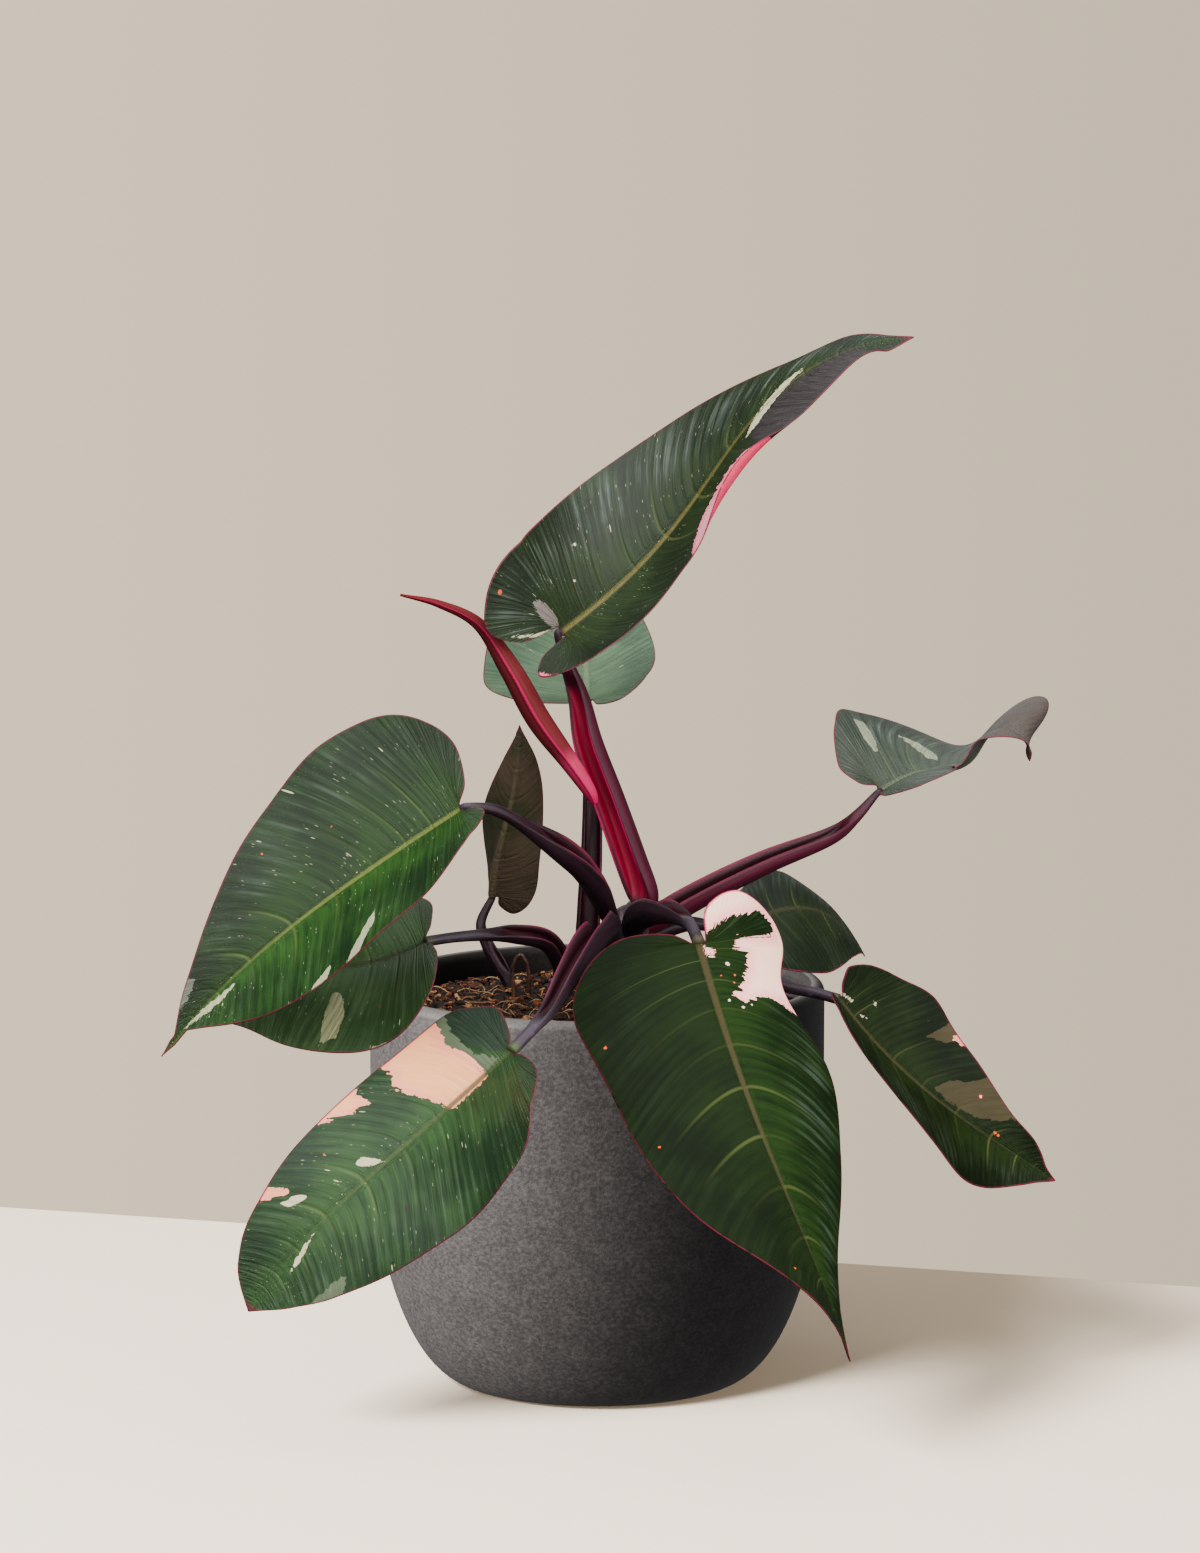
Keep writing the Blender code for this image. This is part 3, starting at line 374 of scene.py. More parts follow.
class Blade:
    """The curved surface of one leaf; its methods take arrays of flat places along and across."""

    def __init__(self, shape):
        self.shape = shape
        self.length = shape["length"] * MM
        walk = np.cumsum(self.axes((np.arange(SPINE_STEPS) + 0.5) / SPINE_STEPS)[0], axis=0)
        joint = np.array(shape["joint"]) * MM
        self.spine = joint + np.vstack((np.zeros(3), walk)) * self.length / SPINE_STEPS

    def axes(self, u):
        """Directions along the midrib, to the left half and up from the face."""
        heading, pitch, roll = (np.radians(smooth_value(self.shape[key], u))
                                for key in ("heading", "pitch", "roll"))
        forth, aside, level, rise = np.cos(heading), np.sin(heading), np.cos(pitch), np.sin(pitch)
        along = np.stack((level * forth, level * aside, rise), -1)
        above = np.stack((-rise * forth, -rise * aside, level), -1)
        side = np.cross(above, along)
        cos_roll, sin_roll = np.cos(roll)[..., None], np.sin(roll)[..., None]
        return along, side * cos_roll + above * sin_roll, above * cos_roll - side * sin_roll

    def margin(self, hand, t):
        """Flat margin of one half and the midrib points that its side veins leave."""
        side = self.shape[hand]
        long = min(side["lobe"] / LONG_LOBE, 1.0)
        points = np.array(OUTLINE)
        points[0, 1] = MIDRIB_HALF / MM / side["width"]
        for i, place, move in LOBE_CORNERS:
            points[i, :2] = np.array(place) + np.array(move) * long
        u = np.maximum(points[:, 0], 0)
        fuller = side["fullness"] * FULLNESS_SCALE * u ** 4 * (1 - u)
        points[:, 1] = (points[:, 1] + fuller) * side["width"] * MM
        points[:, 0] *= np.where(points[:, 0] > 0, self.length, side["lobe"] * MM)
        along, across, foot = smooth_value(points, t).T
        across = across + smooth_value(side["trim"], t) * MM
        across = np.maximum(across, TIP_HALF * np.minimum(1, TIP_STEEPNESS * (1 - t)))
        return along, across, np.clip(foot, 0, 1) * self.length

    def point(self, hand, x, y):
        """Place in space of a flat place: folded at the midrib, curled, rolled at the edge and waved."""
        side = self.shape[hand]
        width = side["width"] * MM
        u = np.clip(x / self.length, 0, 1)
        i = np.minimum((u * SPINE_STEPS).astype(int), SPINE_STEPS - 1)
        f = (u * SPINE_STEPS - i)[..., None]
        along, across, above = self.axes(u)
        spot = self.spine[i] * (1 - f) + self.spine[i + 1] * f + along * np.minimum(x, 0)[..., None]
        fold, curl, edge = (np.radians(smooth_value(side[key], u)) for key in ("fold", "curl", "edge"))
        out = rise = 0.0
        for k in range(ACROSS_STEPS):
            q = (k + 0.5) / ACROSS_STEPS * y / width
            near = np.clip((q - ROLL_START) / (1 - ROLL_START), 0, 1.2)
            slope = fold + curl * q + edge * near ** 2 * (3 - 2 * np.minimum(near, 1))
            out = out + np.cos(slope) * y / ACROSS_STEPS
            rise = rise + np.sin(slope) * y / ACROSS_STEPS
        size, count, start = side["wave"]
        rise = rise + size * width * (y / width) ** 2 * np.sin(2 * pi * (count * x / self.length + start))
        sign = 1 if hand == "left" else -1
        return spot + across * (sign * out)[..., None] + above * rise[..., None]

    def normal(self, hand, x, y):
        """Direction out of the upper face; on the midrib it is the same for both halves."""
        step = 0.05 * MM
        ahead = self.point(hand, x + step, y) - self.point(hand, x - step, y)
        aside = self.point(hand, x, y + step) - self.point(hand, x, y - step)
        up = unit(np.cross(ahead, aside)) * (1 if hand == "left" else -1)
        share = np.clip(y / (MIDRIB_HALF * 0.8), 0, 1)[..., None]
        return unit(up * share + self.axes(np.clip(x / self.length, 0, 1))[2] * (1 - share))


def grid_faces(rows, columns, start=0, closed=False, flip=False):
    """Quads of a grid of points; closed joins its last column to the first."""
    faces = []
    for i in range(rows - 1):
        for j in range(columns if closed else columns - 1):
            k = (j + 1) % columns
            quad = (start + i * columns + j, start + i * columns + k,
                    start + (i + 1) * columns + k, start + (i + 1) * columns + j)
            faces.append(quad[::-1] if flip else quad)
    return faces


def make_piece(name, points, faces, finish, values=None, node=None, merge=0.0):
    """A smooth mesh that carries values for its finish, rides on the plant and stands for a node."""
    mesh = bpy.data.meshes.new(name)
    mesh.from_pydata(np.asarray(points).reshape(-1, 3).tolist(), [], faces)
    for key, value in (values or {}).items():
        layer = mesh.attributes.new(key, "FLOAT_VECTOR", "POINT")
        layer.data.foreach_set("vector", np.asarray(value, np.float32).reshape(-1))
    if merge:
        bm = bmesh.new()
        bm.from_mesh(mesh)
        bmesh.ops.remove_doubles(bm, verts=bm.verts, dist=merge)
        bm.to_mesh(mesh)
        bm.free()
    mesh.polygons.foreach_set("use_smooth", [True] * len(mesh.polygons))
    mesh.materials.append(finish)
    piece = bpy.data.objects.new(name, mesh)
    bpy.context.scene.collection.objects.link(piece)
    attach(piece, "root")
    if node:
        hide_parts(node)
    return piece


# Finishes

def mixed(first, second, share=0.5):
    """A colour between two, worked out once."""
    return tuple(a + (b - a) * share for a, b in zip(first, second))


class Signal:
    """A socket of a node tree. Arithmetic on it adds Math nodes."""

    def __init__(self, nodes, socket):
        self.nodes, self.socket = nodes, socket

    def math(self, operation, *others):
        return self.nodes.node("ShaderNodeMath", {"operation": operation}, dict(enumerate((self, *others))))

    def __add__(self, other): return self.math("ADD", other)
    def __radd__(self, other): return self.math("ADD", other)
    def __sub__(self, other): return self.math("SUBTRACT", other)
    def __mul__(self, other): return self.math("MULTIPLY", other)
    def __pow__(self, other): return self.math("POWER", other)
    def least(self, other): return self.math("MINIMUM", other)

    def between(self, low, high):
        """0 below low and 1 above high, with a soft step; it falls instead where low is above high."""
        return self.nodes.node("ShaderNodeMapRange", {"interpolation_type": "SMOOTHSTEP"},
                               {"Value": self, "From Min": low, "From Max": high})


class Nodes:
    """Adds nodes to a tree; their sockets take constants or signals."""

    def __init__(self, tree):
        self.tree = tree

    def plug(self, socket, value):
        if isinstance(value, Signal):
            self.tree.links.new(value.socket, socket)
        elif socket.type == "RGBA" and len(value) == 3:
            socket.default_value = (*value, 1.0)
        else:
            socket.default_value = value

    def node(self, kind, settings, inputs, output=0):
        node = self.tree.nodes.new(kind)
        for key, value in settings.items():
            if key == "stops":
                ramp = node.color_ramp.elements
                while len(ramp) < len(value):
                    ramp.new(1.0)
                for stop, (place, color) in zip(ramp, value):
                    stop.position, stop.color = place, (*color, 1.0)
            else:
                setattr(node, key, value)
        for key, value in inputs.items():
            self.plug(node.inputs[key], value)
        return Signal(self, node.outputs[output])

    def blend(self, share, first, second):
        return self.node("ShaderNodeMix", {"data_type": "RGBA"}, {"Factor": share, 6: first, 7: second}, 2)


class Finish(Nodes):
    """A material round one Principled shader."""

    def __init__(self, name, **constants):
        self.material = bpy.data.materials.new(name)
        self.material.use_nodes = True
        super().__init__(self.material.node_tree)
        self.set(**constants)

    def set(self, **inputs):
        """Sets sockets of the shader by name, with _ for a space."""
        for key, value in inputs.items():
            self.plug(self.tree.nodes["Principled BSDF"].inputs[key.replace("_", " ")], value)

    def carried(self, name):
        """A vector that the mesh carries, whole and as its three parts."""
        whole = self.node("ShaderNodeAttribute", {"attribute_name": name}, {}, "Vector")
        first = self.node("ShaderNodeSeparateXYZ", {}, {"Vector": whole})
        return (whole, *(Signal(self, socket) for socket in first.socket.node.outputs))

    def place(self):
        return self.node("ShaderNodeTexCoord", {}, {}, "Object")

    def scaled(self, vector, *factors):
        return self.node("ShaderNodeVectorMath", {"operation": "MULTIPLY"}, {0: vector, 1: factors})

    def joined(self, x, y, z):
        return self.node("ShaderNodeCombineXYZ", {}, {"X": x, "Y": y, "Z": z})

    def parted(self, color, part=0):
        """One part of a colour, taken as a number."""
        return self.node("ShaderNodeSeparateColor", {}, {"Color": color}, part)

    def noise(self, vector, scale=1.0, detail=2.0, roughness=0.5):
        return self.node("ShaderNodeTexNoise", {}, {"Vector": vector, "Scale": scale, "Detail": detail,
                                                    "Roughness": roughness}, "Fac")

    def cells(self, vector, output="Distance"):
        return self.node("ShaderNodeTexVoronoi", {}, {"Vector": vector, "Scale": 1.0}, output)

    def bump(self, height, distance, strength):
        return self.node("ShaderNodeBump", {}, {"Height": height, "Distance": distance,
                                                "Strength": strength})


BLACK = (0.0, 0.0, 0.0)
# Near-black green of the painted shade on leaf halves
PAINTED_SHADE_GREEN = (0.006, 0.008, 0.004)
# Pale blue-grey of the painted sheen on leaves
PAINTED_SHEEN_GREY = tone(112, 122, 120)
PALE_VEIN = tone(168, 176, 96)
FLECK = tone(190, 190, 152)
GREY_LINES = tone(96, 92, 92)
IVORY_LINES = tone(222, 214, 178)
PEACH_LINES = (1.0, 0.8, 0.6)
HOT_PINK = tone(190, 16, 82)
STALK_BLOOM = tone(92, 82, 96)
STALK_CLOUD = tone(96, 84, 98)


def leaf_finish(name, shape):
    """The variegated upper face, the underside and the midrib of one leaf.

    Its mesh carries the number of the side vein, the share of the way to the margin, flat places, how far
    they lie inside each kind of mark, the gap to the margin, the midrib's line and which face it is.
    """
    style = shape["look"]
    colors = {key: tone(*value) for key, value in style.items()
              if isinstance(value, tuple) and len(value) == 3}
    f = Finish("leaf_" + name, Specular_IOR_Level=style["shine"])
    vein, number, share, _ = f.carried("vein")
    flat, reach, across, _ = f.carried("flat")
    _, pink_in, cream_in, dusk_in = f.carried("marks")
    _, gap, rib, under = f.carried("rim")
    _, shade_in, _, _ = f.carried("shading")

    pleats = f.noise(f.scaled(vein, 3.6, 0.8, 1.0), detail=2.0, roughness=0.55)
    streaks = f.noise(f.scaled(vein, 9.0, 1.6, 1.0), detail=2.0, roughness=0.6)
    fibres = f.noise(f.scaled(vein, 24.0, 3.0, 1.0), detail=2.0)
    clouds = f.noise(flat, 0.045, detail=3.0)
    grain = f.noise(flat, 2.2, detail=2.0)

    left_half = across.between(-0.6, 0.6)
    bloom, dim = (left_half * (left - right) + right for left, right in (style["bloom"], style["dim"]))

    # Greens: brighter by the midrib and in patches, with painted shade on one half, a painted sheen and fine
    # lines along the side veins
    fine = (number * 4).math("PINGPONG", 0.5)
    bright = ((pleats - 0.5) * 0.5 + (streaks - 0.5) * 0.5 + (fibres - 0.5) * 0.7 + (fine - 0.25) * 0.5
              + (clouds - 0.5) * 1.5 + share.between(0.75, 0.0) * 0.32 + 0.33)
    green = f.blend(bright.between(0.0, 1.0), colors["deep"], colors["bright"])
    # Painted shade: the half that lies in shade is darkened towards a near-black green, by an amount given
    # for each half
    green = f.blend(dim, green, PAINTED_SHADE_GREEN)
    # Painted sheen: a pale blue-grey band between midrib and margin, broken up by the pleats and fine lines,
    # standing in for a reflection of the sky
    sheen_band = ((pleats * 0.9 + fibres * 0.7 + fine * 0.5).between(0.85, 1.35) * share.between(0.3, 0.7)
            * share.between(1.05, 0.75) * clouds.between(0.32, 0.62))
    green = f.blend(sheen_band * bloom, green, PAINTED_SHEEN_GREY)
    vein_gap = number.math("PINGPONG", 0.5)
    each_vein = f.joined((number + 0.5).math("FLOOR"), across.math("SIGN"), 0.0)
    pick = f.noise(f.scaled(each_vein, 3.7, 2.9, 1.0), 1.0)
    side_vein = vein_gap.between(0.055, 0.010) * share.between(0.85, 0.05) * pick.between(0.38, 0.72) * 0.6
    green = f.blend(side_vein, green, mixed(colors["bright"], PALE_VEIN, 0.22))

    # Cream flecks drawn out along the veins, fine specks in drifts, and dust towards the margin
    flecks = style["flecks"]
    patchy = f.noise(flat, 0.075, detail=2.0)
    stretched = f.scaled(vein, 10.5, 4.2, 1.0)
    cell = f.cells(stretched, output="Color")
    size = f.parted(cell, 1) ** 4
    fleck = ((f.cells(stretched) - size * 0.15).between(0.11, 0.04)
             * (f.parted(cell) + patchy * 1.1).between(1.67 - 0.40 * flecks, 1.70 - 0.40 * flecks))
    small = f.scaled(vein, 23.0, 11.0, 1.0)
    speck = (f.cells(small).between(0.24, 0.08)
             * (f.parted(f.cells(small, output="Color")) + patchy * 1.6).between(1.88 - 0.50 * flecks,
                                                                                 1.98 - 0.50 * flecks))
    dust = f.noise(flat, 1.7, detail=3.0, roughness=0.75).between(0.61, 0.70)
    dust = dust * gap.between(14.0, 2.0) * flecks
    green = f.blend((fleck * 0.85 + speck * 0.5 + dust * 0.3).least(0.9), green, FLECK)

    # Marks: their outlines step from vein to vein
    steps = ((f.noise(f.scaled(vein, 8.0, 2.2, 1.0), detail=1.0) - 0.5) * 4.2
             + (f.noise(flat, 0.55, detail=3.0, roughness=0.6) - 0.5) * 3.0)
    shade = (shade_in + steps * 0.8).between(-1.5, 1.5)
    dusk = (dusk_in + steps * 0.7).between(-0.12, 0.12)
    cream = (cream_in + steps * 0.4).between(-0.12, 0.12)
    pink = (pink_in + steps).between(-0.10, 0.10)
    soft_lines = fibres.between(0.35, 0.7)
    dull = f.blend(soft_lines * 0.5, colors["shade"], mixed(colors["shade"], GREY_LINES, 0.35))
    green = f.blend(shade * 0.9, green, dull)
    green = f.blend(dusk * (0.80 + (clouds - 0.5)), green, colors["dusk"])
    ivory = f.blend(soft_lines * 0.5, colors["cream"], mixed(colors["cream"], IVORY_LINES, 0.45))
    green = f.blend(cream * 0.94, green, ivory)
    rosy = (pink_in + (clouds - 0.5) * 10).between(6.0, 0.3) * 0.6
    pink_color = f.blend(rosy, colors["pink"], colors["blush"])
    pink_color = f.blend(soft_lines * 0.25, pink_color, mixed(colors["pink"], PEACH_LINES, 0.5))
    pink_color = f.blend(gap.between(1.1, 0.35) * 0.85, pink_color, HOT_PINK)
    green = f.blend(pink, green, pink_color)

    # Underside: olive to wine with paler veins, hot pink behind a pink mark
    back = f.blend(clouds.between(0.4, 0.62), colors["back"], mixed(colors["back"], colors["bright"], 0.7))
    back = f.blend(pink, back, f.blend(soft_lines * 0.15, colors["blush"], colors["pink"]))
    color = f.blend(under, green, back)

    # Midrib that fades towards the wine tip, the thin wine margin, and the dots
    rib_color = f.blend(soft_lines * 0.5, colors["rib"], mixed(colors["rib"], colors["bright"]))
    along = reach * (1 / shape["length"])
    midrib = (rib + along * 0.5).between(1.35, 0.55) * along.between(1.0, 0.35)
    color = f.blend(midrib * 0.85, color, rib_color)
    color = f.blend(along.between(0.972, 0.992) * 0.7, color, colors["edge"])
    edge = gap.between(0.65, 0.25) * f.noise(flat, 0.25, detail=1.0).between(0.25, 0.5)
    color = f.blend(edge * 0.85, color, colors["edge"])
    for dot_color, forward, side, radius in shape["dots"]:
        middle = (forward, side, 0)
        away = f.node("ShaderNodeVectorMath", {"operation": "DISTANCE"}, {0: flat, 1: middle}, "Value")
        away = away + (grain - 0.5) * radius
        color = f.blend(away.between(radius * 0.75, radius * 0.4) * 0.9, color, tone(*dot_color))
    f.set(Base_Color=color)

    rough = (style["gloss"] + (grain - 0.5) * 0.14 + (streaks - 0.5) * 0.16 + (clouds - 0.5) * 0.16
             + pink * 0.06 + under * 0.14)
    f.set(Roughness=rough)
    height = (pleats * 0.8 + streaks * 0.25 + fibres * 0.16 + fine * 0.2 + grain * 0.05
              - vein_gap.between(0.08, 0.0) * share.between(0.9, 0.2) * pick * 0.4)
    f.set(Normal=f.bump(height, 0.75 * MM, 0.7))
    return f.material


def stalk_finish(name, shape):
    """Dark dull skin with a pale bloom and flushed flanks, a sheath inside and its thin bright edges."""
    skin, sheath, wing_color, flush = (tone(*shape[key]) for key in ("skin", "sheath", "wing", "flush"))
    f = Finish("stalk_" + name, Specular_IOR_Level=0.22)
    _, inside, wing, along = f.carried("sheath")
    grain, _, _, flank = f.carried("grain")
    place = f.place()
    bloom = f.noise(place, 260.0, detail=4.0, roughness=0.7)
    blotch = f.noise(place, 90.0, detail=2.0)
    lines = f.noise(grain, 1.0, detail=2.0)
    color = f.blend(blotch.between(0.35, 0.7), skin, mixed(skin, STALK_CLOUD, 0.16))
    color = f.blend(bloom.between(0.55, 0.74) * 0.4, color, STALK_BLOOM)
    color = f.blend(lines.between(0.45, 0.7) * 0.35, color, mixed(skin, BLACK, 0.5))
    flushed = f.blend(lines.between(0.42, 0.66) * 0.7, flush, mixed(flush, BLACK, 0.55))
    color = f.blend(flank.between(0.15, 0.75) * along.between(0.86, 0.70), color, flushed)
    inner = f.blend(lines.between(0.4, 0.65) * 0.7, sheath, mixed(sheath, BLACK, 0.6))
    color = f.blend(inside.between(0.35, 0.65), color, inner)
    color = f.blend(wing.between(0.72, 0.97) * 0.8, color, wing_color)
    color = f.blend(along.between(0.94, 0.99) * 0.75, color, tone(*LEAVES[name]["look"]["rib"]))
    f.set(Base_Color=color, Roughness=0.46 + (bloom - 0.5) * 0.3,
          Normal=f.bump(lines * 0.5 + bloom * 0.3, 0.35 * MM, 0.6))
    return f.material


def spear_finish():
    """Rose red, browner above, with a bright edge where the leaf overlaps itself."""
    f = Finish("new_leaf_skin", Specular_IOR_Level=0.08)
    _, along, turn, overlap = f.carried("roll")
    lines = f.noise(f.carried("grain")[0], 1.0, detail=3.0)
    color = f.node("ShaderNodeValToRGB", {"stops": (
        (0.0, tone(160, 4, 66)), (0.28, tone(168, 40, 80)), (0.33, tone(92, 26, 32)),
        (0.62, tone(84, 26, 27)), (1.0, tone(92, 12, 22)))}, {"Fac": along})
    color = f.blend(lines.between(0.42, 0.68) * 0.3, color, tone(128, 40, 48))
    color = f.blend(turn.between(0.3, 0.8) * 0.45, color, tone(52, 6, 16))
    color = f.blend(overlap.between(0.4, 0.9) * 0.8, color, tone(180, 14, 78))
    f.set(Base_Color=color, Roughness=0.6 + (lines - 0.5) * 0.2, Normal=f.bump(lines, 0.3 * MM, 0.5))
    return f.material


def bark_skin(name, first, second, bloom_color=(116, 104, 112)):
    """Skin of the stem, the dried root and the old stub."""
    f = Finish(name, Specular_IOR_Level=0.4)
    place = f.place()
    knots = f.noise(place, 140.0, detail=4.0, roughness=0.65)
    fine = f.noise(place, 620.0, detail=3.0)
    color = f.blend(knots.between(0.4, 0.65), tone(*first), tone(*second))
    color = f.blend(fine.between(0.58, 0.74) * 0.4, color, tone(*bloom_color))
    f.set(Base_Color=color, Roughness=0.5 + (fine - 0.5) * 0.3,
          Normal=f.bump(knots * 0.7 + fine * 0.3, 0.8 * MM, 0.7))
    return f.material


def pot_finish():
    """Matte stoneware with a mottled surface, a painted highlight on the lip and painted shade inside."""
    f = Finish("pot_glaze", Specular_IOR_Level=0.5)
    place = f.place()
    mottle = f.noise(f.scaled(place, 1.0, 1.0, 1.3), 680.0, detail=3.0, roughness=0.6)
    blotch = f.noise(place, 150.0, detail=2.0)
    sand = f.noise(place, 1900.0, detail=2.0)
    light = (mottle - 0.5) * 1.5 + 0.36 + (blotch - 0.5) * 0.4 + (sand - 0.5) * 0.4
    color = f.blend(light.between(0.0, 1.0), tone(68, 65, 64), tone(112, 107, 104))
    _, lip, inside, _ = f.carried("wall")
    # Painted highlight: a pale band round the rounded lip, where the light catches the rim
    color = f.blend(lip * 0.6, color, tone(146, 142, 138))
    # Painted shade: the inside of the pot below the lip is darkened
    color = f.blend(inside * 0.8, color, tone(38, 36, 34))
    f.set(Base_Color=color, Roughness=0.5 + (mottle - 0.5) * 0.3 - lip * 0.1,
          Normal=f.bump(mottle * 0.6 + sand * 0.4, 0.35 * MM, 0.55))
    return f.material


def mix_finish(name, stops, rough=0.85):
    """Bark, crumbs and fibres: each bit has its own colour from the ramp and grain along it."""
    f = Finish(name, Specular_IOR_Level=0.3)
    _, pick, wet, _ = f.carried("bit")
    grain = f.noise(f.scaled(f.place(), 1.0, 1.0, 2.0), 900.0, detail=3.0, roughness=0.6)
    color = f.node("ShaderNodeValToRGB", {"stops": stops}, {"Fac": pick + (grain - 0.5) * 0.35})
    color = f.blend(wet * 0.5, color, tone(34, 22, 16))
    f.set(Base_Color=color, Roughness=rough + (grain - 0.5) * 0.3, Normal=f.bump(grain, 0.6 * MM, 0.8))
    return f.material


# Leaves

STATIONS = 190
SHARES = np.concatenate((np.linspace(0, 0.94, 25), (0.965, 0.985, 1.0)))
RIB_SHARES = np.array((0.0, 0.35, 0.7))
BLADE_THICK = 0.55 * MM
MARGIN_THICK = 0.35 * MM
MARGIN_BAND = 1.5 * MM
RIB_EXTRA = 1.35 * MM
RIB_HALF = 1.3 * MM
RIB_GROOVE = 0.28 * MM
RIB_GROOVE_HALF = 0.8 * MM
RIB_TAPER = 0.6
RIB_LINE = (0.35, 0.95)
FAN = 1.45
VEIN_PUFF = 0.06
VEIN_SINK = 0.08
VEIN_HALF = 0.11
MARK_LIMIT = 12.0
MARK_KINDS = ("pink", "cream", "dusk", "shade")


def reach_inside(x, y, corners):
    """How far flat places lie inside a mark's outline, in millimetres; less than 0 outside."""
    inside = np.zeros(x.shape, bool)
    nearest = np.full(x.shape, 1e9)
    for (ax, ay), (bx, by) in zip(corners, corners[1:] + corners[:1]):
        dx, dy = bx - ax, by - ay
        f = np.clip(((x - ax) * dx + (y - ay) * dy) / (dx * dx + dy * dy), 0, 1)
        nearest = np.minimum(nearest, np.hypot(x - ax - f * dx, y - ay - f * dy))
        inside ^= ((ay > y) != (by > y)) & (x < ax + (y - ay) * dx / (dy if dy else 1e-9))
    return np.clip(np.where(inside, nearest, -nearest), -MARK_LIMIT, MARK_LIMIT)


def leaf_half(blade, hand):
    """Flat places of one half with the side vein number and the share of the way to the margin."""
    t = np.linspace(0, 1, STATIONS)
    along, across, foot = blade.margin(hand, t)
    taper = (1 - foot / blade.length) ** RIB_TAPER
    inner = np.where(t > 0.2, np.minimum(MIDRIB_HALF * taper, across * 0.5), MIDRIB_HALF)[:, None]
    x = foot[:, None] + (along - foot)[:, None] * SHARES ** FAN
    y = inner + (across[:, None] - inner) * SHARES
    x = np.hstack((np.repeat(foot[:, None], len(RIB_SHARES), 1), x))
    y = np.hstack((inner * RIB_SHARES, y))
    share = np.hstack((np.zeros((STATIONS, len(RIB_SHARES))), np.repeat(SHARES[None], STATIONS, 0)))
    number = np.repeat((t * blade.shape["veins"])[:, None], x.shape[1], 1)
    gap = np.full(x.shape, np.inf)
    for px, py in zip(along, across):
        gap = np.minimum(gap, np.hypot(x - px, y - py))
    gap[:, -1] = 0
    return x, y, share, number, gap


def leaf_piece(name):
    """Both halves of a leaf with relief, a thick midrib, thin margins and what its finish needs."""
    shape = LEAVES[name]
    blade = Blade(shape)
    seed = (sorted(LEAVES).index(name) + 1) * 31.7
    points, faces = [], []
    carried = {key: [] for key in ("vein", "flat", "marks", "rim", "shading")}
    for hand, sign in (("left", 1), ("right", -1)):
        x, y, share, number, gap = leaf_half(blade, hand)
        rows, columns = x.shape
        taper = np.clip(1 - x / blade.length, 0, 1) ** RIB_TAPER
        rib_line = (RIB_LINE[0] + RIB_LINE[1] * taper) * MM
        spot, up = blade.point(hand, x, y), blade.normal(hand, x, y)
        phase = number - np.round(number)
        fade = np.clip(share / 0.1, 0, 1) * (1 - 0.75 * share) * np.clip((1 - x / blade.length) * 4, 0, 1)
        relief = fade * (VEIN_PUFF * np.sin(pi * number) ** 2 - VEIN_SINK * bell(phase, VEIN_HALF)) * MM
        relief = relief - RIB_GROOVE * taper * bell(y, RIB_GROOVE_HALF)
        thick = MARGIN_THICK + (BLADE_THICK - MARGIN_THICK) * np.clip(gap / MARGIN_BAND, 0, 1)
        thick = thick + RIB_EXTRA * taper * taper * bell(y, RIB_HALF)
        fields = {kind: np.full(x.shape, -MARK_LIMIT) for kind in MARK_KINDS}
        for kind, corners in shape["marks"]:
            fields[kind] = np.maximum(fields[kind], reach_inside(x / MM, sign * y / MM, corners))
        for under in (0, 1):
            start = sum(len(p) for p in points)
            points.append((spot + up * (relief - thick * under)[..., None]).reshape(-1, 3))
            for key, parts in (
                    ("vein", (number, share, seed + sign * 5 * np.clip(y / MIDRIB_HALF, 0, 1))),
                    ("flat", (x / MM, sign * y / MM, 0 * x)),
                    ("marks", (fields["pink"], fields["cream"], fields["dusk"])),
                    ("rim", (gap / MM, y / rib_line, 0 * x + under)),
                    ("shading", (fields["shade"], 0 * x, 0 * x))):
                carried[key].append(np.stack(parts, -1).reshape(-1, 3))
            faces += grid_faces(rows, columns, start, flip=(hand == "left") != bool(under))
        upper, lower = start - rows * columns, start
        for i in range(rows - 1):
            a, b = i * columns + columns - 1, (i + 1) * columns + columns - 1
            quad = (upper + a, upper + b, lower + b, lower + a)
            faces.append(quad if hand == "left" else quad[::-1])
        for i in (0, rows - 1):
            for j in range(columns - 1):
                a, b = i * columns + j, i * columns + j + 1
                quad = (upper + a, upper + b, lower + b, lower + a)
                faces.append(quad if (hand == "left") == (i == 0) else quad[::-1])
    values = {key: np.concatenate(parts) for key, parts in carried.items()}
    make_piece("leaf_" + name, np.concatenate(points), faces, leaf_finish(name, shape), values,
               node="blade_" + name, merge=0.02 * MM)


# Stalks, stem, new leaf

def path_frames(points, opens, count):
    """Positions along a smooth path with the direction of travel, up (the groove) and side."""
    points = np.array(points, float) * MM
    u = np.linspace(0, 1, count)
    step = 0.4 / count
    ahead, behind = (smooth_value(points, np.clip(u + move, 0, 1)) for move in (step, -step))
    along = unit(ahead - behind)
    opens = np.array(opens, float)
    up = unit(opens - along * (along @ opens)[:, None])
    return u, smooth_value(points, u), along, up, np.cross(along, up)


STALK_STEPS = 90
BACK_SIDES = 26
GROOVE_SIDES = 19
WING_ANGLE = radians(128)
GROOVE_ANGLE = radians(112)
BENT_TAIL_HALF = 1.3
TAIL_SINK = 2.2
THIN_WALL = 0.75 * MM


